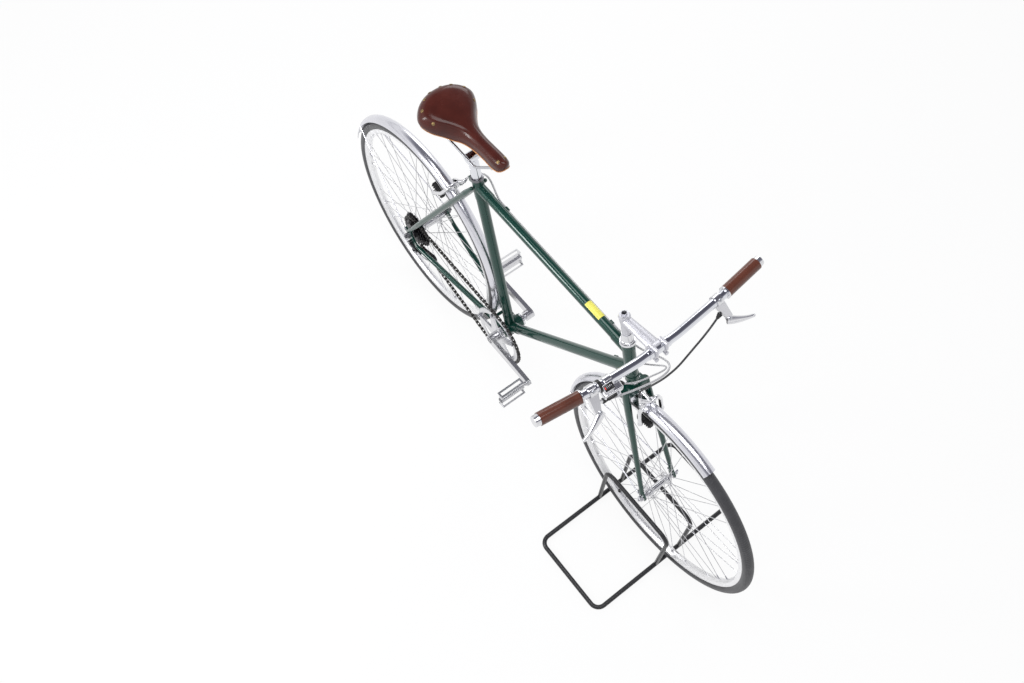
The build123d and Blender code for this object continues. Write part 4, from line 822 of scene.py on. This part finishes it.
pins = list(chainPins())
ways = [after - pin for pin, after in zip(pins, pins[1:] + pins[:1])]
middles = [pin + way * 0.5 for pin, way in zip(pins, ways)]
finishPiece(links.grow("chainLinks", "chainSteel", middles, ways), "frame", "dark_steel", "chain")
print("chain done:", len(pins), "links")

# wheels
wheels = {
    "spokes": 36, "crossings": 3, "swing": 1.08, "holeInset": 0.0012, "headOut": 0.0032,
    "rimInner": 0.300, "rimY": 0.002, "rimStagger": 0.0007, "nippleInset": 0.0095,
    "valveAngle": math.radians(250), "valveInset": 0.001,
    "valve": [(0, 0.0052), (0.003, 0.0052), (0.0032, 0.0030), (0.0255, 0.0030), (0.02584, 0.0038),
              (0.03298, 0.0036), (0.034, 0.0024)],
    "front": {"axle": frontAxle, "flangeY": (-0.030, 0.030), "flangeRadius": 0.019},
    "rear": {"axle": rearAxle, "flangeY": (-0.027, 0.034), "flangeRadius": 0.023},
}
for key in ("front", "rear"):
    wheel = wheels[key]
    ends, aims = [], []
    perFlange = wheels["spokes"] // 2
    for flange, side in enumerate(wheel["flangeY"]):
        for i in range(perFlange):
            face = 1 if i % 2 else -1
            hole = 2 * math.pi * (i + 0.5 * flange) / perFlange
            swing = face * wheels["crossings"] * 2 * math.pi / perFlange * wheels["swing"]
            rootY = side + face * wheels["headOut"]
            tipY = (1 if side > 0 else -1) * wheels["rimY"] + face * wheels["rimStagger"]
            root = onWheel(wheel["axle"], wheel["flangeRadius"] - wheels["holeInset"], hole, rootY)
            tip = onWheel(wheel["axle"], wheels["rimInner"], hole + swing, tipY)
            way = (tip - root).normalized()
            ends.append(tip - way * wheels["nippleInset"])
            aims.append(way)
    body = key + "_wheel"
    finishPiece(nipples.grow(key + "Nipples", "silver", ends, aims), body, "polished_metal")
    out = onWheel(Vector(), 1, wheels["valveAngle"])
    foot = wheel["axle"] + out * (wheels["rimInner"] + wheels["valveInset"])
    valve = Shape().turned(foot, -out, wheels["valve"], 16)
    finishPiece(valve.make(key + "Valve", "blackPlastic"), body, "black_plastic")
print("wheels done")

# handlebar and its controls
bar = {
    "clamp": (0.902, 0.932), "innerY": 0.058, "bendY": 0.192, "endY": 0.325,
    "innerBack": 0.009, "innerRise": 0.005, "outerBack": 0.0135, "outerRise": 0.0106, "radius": 0.0111,
}


def onBar(y):    # a place on the handlebar's axis
    inner = min(max(0.0, (abs(y) - bar["innerY"]) / (bar["bendY"] - bar["innerY"])), 1.0)
    outer = max(0.0, (abs(y) - bar["bendY"]) / (bar["endY"] - bar["bendY"]))
    return fromRear(bar["clamp"][0] - bar["innerBack"] * inner - bar["outerBack"] * outer, y,
                    bar["clamp"][1] + bar["innerRise"] * inner + bar["outerRise"] * outer)


controls = {
    "indicatorY": -0.150, "indicatorShift": (0.014, 0, 0.005), "indicatorUp": (0.4, 0, 1),
    "indicatorTop": 0.0066, "window": (0.0235, 0.0155, 0.0014), "windowEdge": 0.0006,
    "mark": (0.0020, 0.0060, 0.0020), "markAlong": 0.0095, "markUp": 0.0004, "markEdge": 0.0004,
    "ticks": 4, "tick": (0.0008, 0.0055, 0.0004), "tickAlong": 0.0045, "tickPitch": 0.0036,
    "tickUp": 0.0008, "tickEdge": 0.0001,
    "strapY": -0.163, "strapStart": 0.0042,
    "strap": [(0, 0.0142), (0.0006, 0.0148), (0.0078, 0.0148), (0.0084, 0.0142)],
    "thumbShift": (0.030, 0, -0.017), "thumbStart": 0.012,
    "thumb": [(0, 0.0035), (0.001, 0.0048), (0.021, 0.0048), (0.023, 0.0035)],
    "cupStart": 0.020, "cup": [(0, 0.0052), (0.001, 0.0062), (0.006, 0.0062), (0.007, 0.005)],
}
barWay = (onBar(-0.170) - onBar(-0.120)).normalized()
up = Vector(controls["indicatorUp"]).normalized()
indicator = onBar(controls["indicatorY"])
face = indicator + Vector(controls["indicatorShift"]) + up * controls["indicatorTop"]
window = Shape().block(face, barWay, up, controls["window"], controls["windowEdge"])
finishPiece(window.make("gearWindow", "blackPlastic"), "steering", "black_plastic")
markAt = face + barWay * controls["markAlong"] + up * controls["markUp"]
mark = Shape().block(markAt, barWay, up, controls["mark"], controls["markEdge"])
finishPiece(mark.make("gearMark", "red"), "steering", None)
ticks = Shape()
for step in range(controls["ticks"]):    # plain ticks, one for each gear
    along = controls["tickAlong"] - controls["tickPitch"] * step
    ticks.block(face + barWay * along + up * controls["tickUp"], barWay, up, controls["tick"],
                controls["tickEdge"])
finishPiece(ticks.make("gearTicks", "silver"), "steering", "polished_metal")
strapAt = onBar(controls["strapY"]) - barWay * controls["strapStart"]
thumb = indicator + Vector(controls["thumbShift"])
straps = Shape().turned(strapAt, barWay, controls["strap"], 32)
straps.turned(thumb - barWay * controls["thumbStart"], barWay, controls["thumb"], 20)
finishPiece(straps.make("gearStrap", "blackPlastic"), "steering", "black_plastic")
cup = Shape().turned(thumb - barWay * controls["cupStart"], barWay, controls["cup"], 20)
finishPiece(cup.make("gearCup", "steel"), "steering", "polished_metal")

boots = {
    "gearBoot": cables["gearRoute"][:2], "leverBootRight": cables["brakeRoute"][:2],
    "leverBootLeft": ((0.916, 0.178, 0.898), (0.921, 0.155, 0.875)),
    "length": 0.010, "mouth": [(0, 0.0055), (0.001, 0.0064)],
    "ribs": 2, "ribPitch": 0.004, "rib": [(0.003, 0.0066), (0.0045, 0.0055)], "ribTaper": 0.0008,
    "tip": [(0.012, 0.0042), (0.014, 0.0034), (0.0145, 0.0030)],
}
stations = list(boots["mouth"])
for rib in range(boots["ribs"]):
    stations += [(distance + boots["ribPitch"] * rib, radius - boots["ribTaper"] * rib)
                 for distance, radius in boots["rib"]]
stations += boots["tip"]
for name in ("gearBoot", "leverBootRight", "leverBootLeft"):    # ribbed sleeves where the cables leave
    exitAt, ahead = (fromRear(*place) for place in boots[name])
    way = (ahead - exitAt).normalized()
    boot = Shape().turned(exitAt - way * boots["length"], way, stations, 20)
    finishPiece(boot.make(name, "blackRubber"), "steering", "black_plastic")

levers = {
    "y": 0.184, "pull": (0.042, 0, -0.0295), "pivotAlong": 0.006, "pivotHalf": 0.0075, "clampScrew": 0.0146,
    "screwRadius": 0.0033, "screwHeight": 0.0016,
    "stemBoltAlong": 0.6378, "stemBoltRadius": 0.0046, "stemBoltHeight": 0.0018,
}
stemBolt = bolts.grow("stemBolt", "blackSteel", [onHead(levers["stemBoltAlong"])], [headUp],
                      Radius=levers["stemBoltRadius"], Height=levers["stemBoltHeight"])
finishPiece(stemBolt, "steering", "polished_metal")
places, aims = [], []
for side in (1, -1):
    way = (onBar(side * 0.192) - onBar(side * 0.100)).normalized()
    pull = Vector(levers["pull"])
    square = way.cross(pull.normalized())
    pivot = onBar(side * levers["y"]) + way * levers["pivotAlong"] + pull
    for sense in (1, -1):
        places.append(pivot + square * sense * levers["pivotHalf"])
        aims.append(square * sense)
    places.append(onBar(side * levers["y"]) + square * (1 if square.z > 0 else -1) * levers["clampScrew"])
    aims.append(square * (1 if square.z > 0 else -1))
leverScrews = bolts.grow("leverScrews", "steel", places, aims, Radius=levers["screwRadius"],
                         Height=levers["screwHeight"])
finishPiece(leverScrews, "steering", "polished_metal")

grips = {
    "from": 0.219, "to": 0.311, "radius": 0.0157, "pitch": 0.0042, "gap": 0.0022, "seam": (-0.5, 0, -1),
    "threadRadius": 0.0006, "threadLength": 0.0034,
}
seam = Vector(grips["seam"])
places, aims = [], []
for side in (1, -1):    # a sewn seam along the underside of each grip
    steps = int((grips["to"] - grips["from"]) / grips["pitch"])
    for step in range(steps):
        y = side * (grips["from"] + grips["pitch"] * (step + 0.5))
        way = (onBar(y + side * 0.002) - onBar(y - side * 0.002)).normalized()
        down = (seam - way * seam.dot(way)).normalized()
        across = way.cross(down)
        for edge in (1, -1):
            places.append(onBar(y) + down * grips["radius"] + across * edge * grips["gap"])
            aims.append(way * 0.7 + across * edge * 0.45)
gripStitches = stitches.grow("gripStitches", "thread", places, aims, Radius=grips["threadRadius"],
                             Length=grips["threadLength"])
finishPiece(gripStitches, "steering", "grip_leather")
print("controls done")

# frame trim
trim = {
    "bandFrom": 0.680, "bandTo": 0.731, "tubeZ": 0.811, "bandRadius": 0.01295, "bandInner": 0.0126,
    "bandArc": (-0.5, 2.4), "bandSteps": 32,    # from the tube's left, round over its top
    "collarAlong": 0.564, "collar": [(0, 0.0162), (0.001, 0.0172), (0.009, 0.0172), (0.010, 0.0150)],
}
bandFrom, bandTo = fromRear(trim["bandFrom"], 0, trim["tubeZ"]), fromRear(trim["bandTo"], 0, trim["tubeZ"])
bandCorners = [(bandFrom, trim["bandInner"]), (bandFrom, trim["bandRadius"]),
               (bandTo, trim["bandRadius"]), (bandTo, trim["bandInner"])]
band = Shape()
rings = []
arcStart, arcEnd = trim["bandArc"]
for step in range(trim["bandSteps"] + 1):
    angle = arcStart + (arcEnd - arcStart) * step / trim["bandSteps"]
    way = Vector((0, math.cos(angle), math.sin(angle)))
    rings.append([band.mesh.verts.new(end + way * radius) for end, radius in bandCorners])
for one, other in zip(rings, rings[1:]):
    for corner in range(4):
        after = (corner + 1) % 4
        band.mesh.faces.new((one[corner], other[corner], other[after], one[after]))
band.mesh.faces.new(rings[0])
band.mesh.faces.new(rings[-1][::-1])
finishPiece(band.make("yellowBand", "yellow"), "frame", None)
crankAt = fromRear(chain["ring"][0], 0, chain["ring"][1])
collar = Shape().turned(crankAt + seatUp * trim["collarAlong"], seatUp, trim["collar"], 40)
finishPiece(collar.make("seatCollar", "darkSteel"), "frame", "polished_metal")

drive = {
    "arms": 5, "boltCircle": 0.0825, "outerFace": -0.0533, "innerFace": -0.0431,
    "ringBolt": {"Radius": 0.0040, "Height": 0.0022}, "ringNut": {"Radius": 0.0046, "Height": 0.0012},
    "capFace": 0.0751,
    "cap": [(0, 0.0110), (0.0026, 0.0110), (0.0034, 0.0100), (0.0034, 0.0052), (0.0022, 0.0048)],
    "cageFace": -0.0523, "knuckle": (0.009, -0.0757, 0.315),
    "cageBolt": {"Radius": 0.0052, "Height": 0.0024},
    "pedalEye": 0.170, "pedalFace": 0.165,
    "pedalCap": [(0, 0.0082), (0.0036, 0.0082), (0.0046, 0.0070), (0.0048, 0.003)],
}
places, aims, backs, backAims = [], [], [], []
for arm in range(drive["arms"]):
    spot = onWheel(crankAt, drive["boltCircle"], 2 * math.pi * (arm + 0.5) / drive["arms"])
    places.append(spot + Vector((0, drive["outerFace"], 0)))
    aims.append((0, -1, 0))
    backs.append(spot + Vector((0, drive["innerFace"], 0)))
    backAims.append((0, 1, 0))
ringBolts = bolts.grow("ringBolts", "steel", places, aims, **drive["ringBolt"])
finishPiece(ringBolts, "crankset", "polished_metal")
ringNuts = studs.grow("ringNuts", "steel", backs, backAims, **drive["ringNut"])
finishPiece(ringNuts, "crankset", "polished_metal")
caps = Shape()
for side in (1, -1):
    caps.turned(crankAt + Vector((0, side * drive["capFace"], 0)), (0, side, 0), drive["cap"], 28)
finishPiece(caps.make("crankCaps", "darkSteel"), "crankset", "polished_metal")
for side, name, sense in ((-1, "pedal_right", 1), (1, "pedal_left", -1)):
    pedalAt = crankAt + Vector((sense * drive["pedalEye"], side * drive["pedalFace"], 0))
    cap = Shape().turned(pedalAt, (0, side, 0), drive["pedalCap"], 24)
    finishPiece(cap.make(name.replace("_", "") + "Cap", "darkSteel"), name, "polished_metal")
places = [fromRear(x, drive["cageFace"], z) for x, z in (chain["guide"], chain["tension"])]
places.append(fromRear(*drive["knuckle"]))
cageBolts = bolts.grow("derailleurBolts", "silver", places, [(0, -1, 0)] * len(places), **drive["cageBolt"])
finishPiece(cageBolts, "frame", "polished_metal")
print("trim done")

# floor and light
stage = {
    "floorSize": 30.0,
    "floorColour": shade(0.93, 0.93, 0.93),
    "glow": 0.90,
    "sky": [(0.00, shade(1.0, 1.0, 1.0)), (0.10, shade(1.0, 1.0, 1.0)), (0.17, shade(0.42, 0.42, 0.46)),
            (0.26, shade(1.0, 1.0, 1.0)), (0.45, shade(1.0, 1.0, 1.0)), (0.66, shade(0.26, 0.26, 0.31)),
            (0.80, shade(0.14, 0.14, 0.175)), (1.00, shade(0.08, 0.08, 0.10))],
    "skyStrength": 1.0,
}
floorData = bpy.data.meshes.new("floor")
half = stage["floorSize"] / 2
corners = [(-half, -half, 0), (half, -half, 0), (half, half, 0), (-half, half, 0)]
floorData.from_pydata(corners, [], [(0, 1, 2, 3)])
floorFinish = Finish("floor", {"Base Color": stage["floorColour"], "Roughness": 0.9,
                               "Specular IOR Level": 0.1})
glow = floorFinish.node("Emission", {}, {"Color": shade(1, 1, 1), "Strength": 1.0})
seen = floorFinish.node("LightPath", output="Is Camera Ray")
mirrored = floorFinish.node("LightPath", output="Is Glossy Ray")
plain = Wave(floorFinish.tree, floorFinish.shader.outputs[0])
mixed = floorFinish.node("MixShader", {}, {0: (seen + mirrored) * stage["glow"], 1: plain, 2: glow})
floorFinish.feed(floorFinish.tree.nodes["Material Output"].inputs["Surface"], mixed)
floor = linked("floor", floorData)
floorData.materials.append(floorFinish.material)
floor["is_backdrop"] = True

world = bpy.data.worlds.new("studio")
bpy.context.scene.world = world
world.use_nodes = True
sky = Shading(world.node_tree)
height = sky.node("SeparateXYZ", {}, {0: sky.node("TexCoord", output="Generated")}, "Z")
shown = sky.node("ValToRGB", {"stops": stage["sky"]}, {0: height})
seen = sky.node("LightPath", output="Is Camera Ray")    # the camera sees plain white where the floor ends
background = sky.tree.nodes["Background"]
sky.feed(background.inputs["Color"], sky.blendColours(seen, shown, shade(1, 1, 1)))
background.inputs["Strength"].default_value = stage["skyStrength"]

lamps = {
    "over": {"place": (0.2, -0.4, 3.4), "size": (2.6, 1.6), "power": 60},
    "side": {"place": (-2.4, 2.2, 2.2), "size": (1.6, 1.6), "power": 26},
    "strip": {"place": (-1.2, -2.6, 1.9), "size": (0.5, 1.3), "power": 34},
}
for name, lamp in lamps.items():
    data = bpy.data.lights.new(name, "AREA")
    data.shape = "RECTANGLE"
    data.size, data.size_y = lamp["size"]
    data.energy = lamp["power"]
    light = linked(name, data)
    light.location = lamp["place"]
    aim = Vector((0, 0, 0.3)) - Vector(lamp["place"])
    light.rotation_euler = aim.to_track_quat("-Z", "Y").to_euler()
bpy.context.scene.view_settings.view_transform = "Standard"
print("stage done")

[list(corner) for corner in (*cadBox, *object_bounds())]
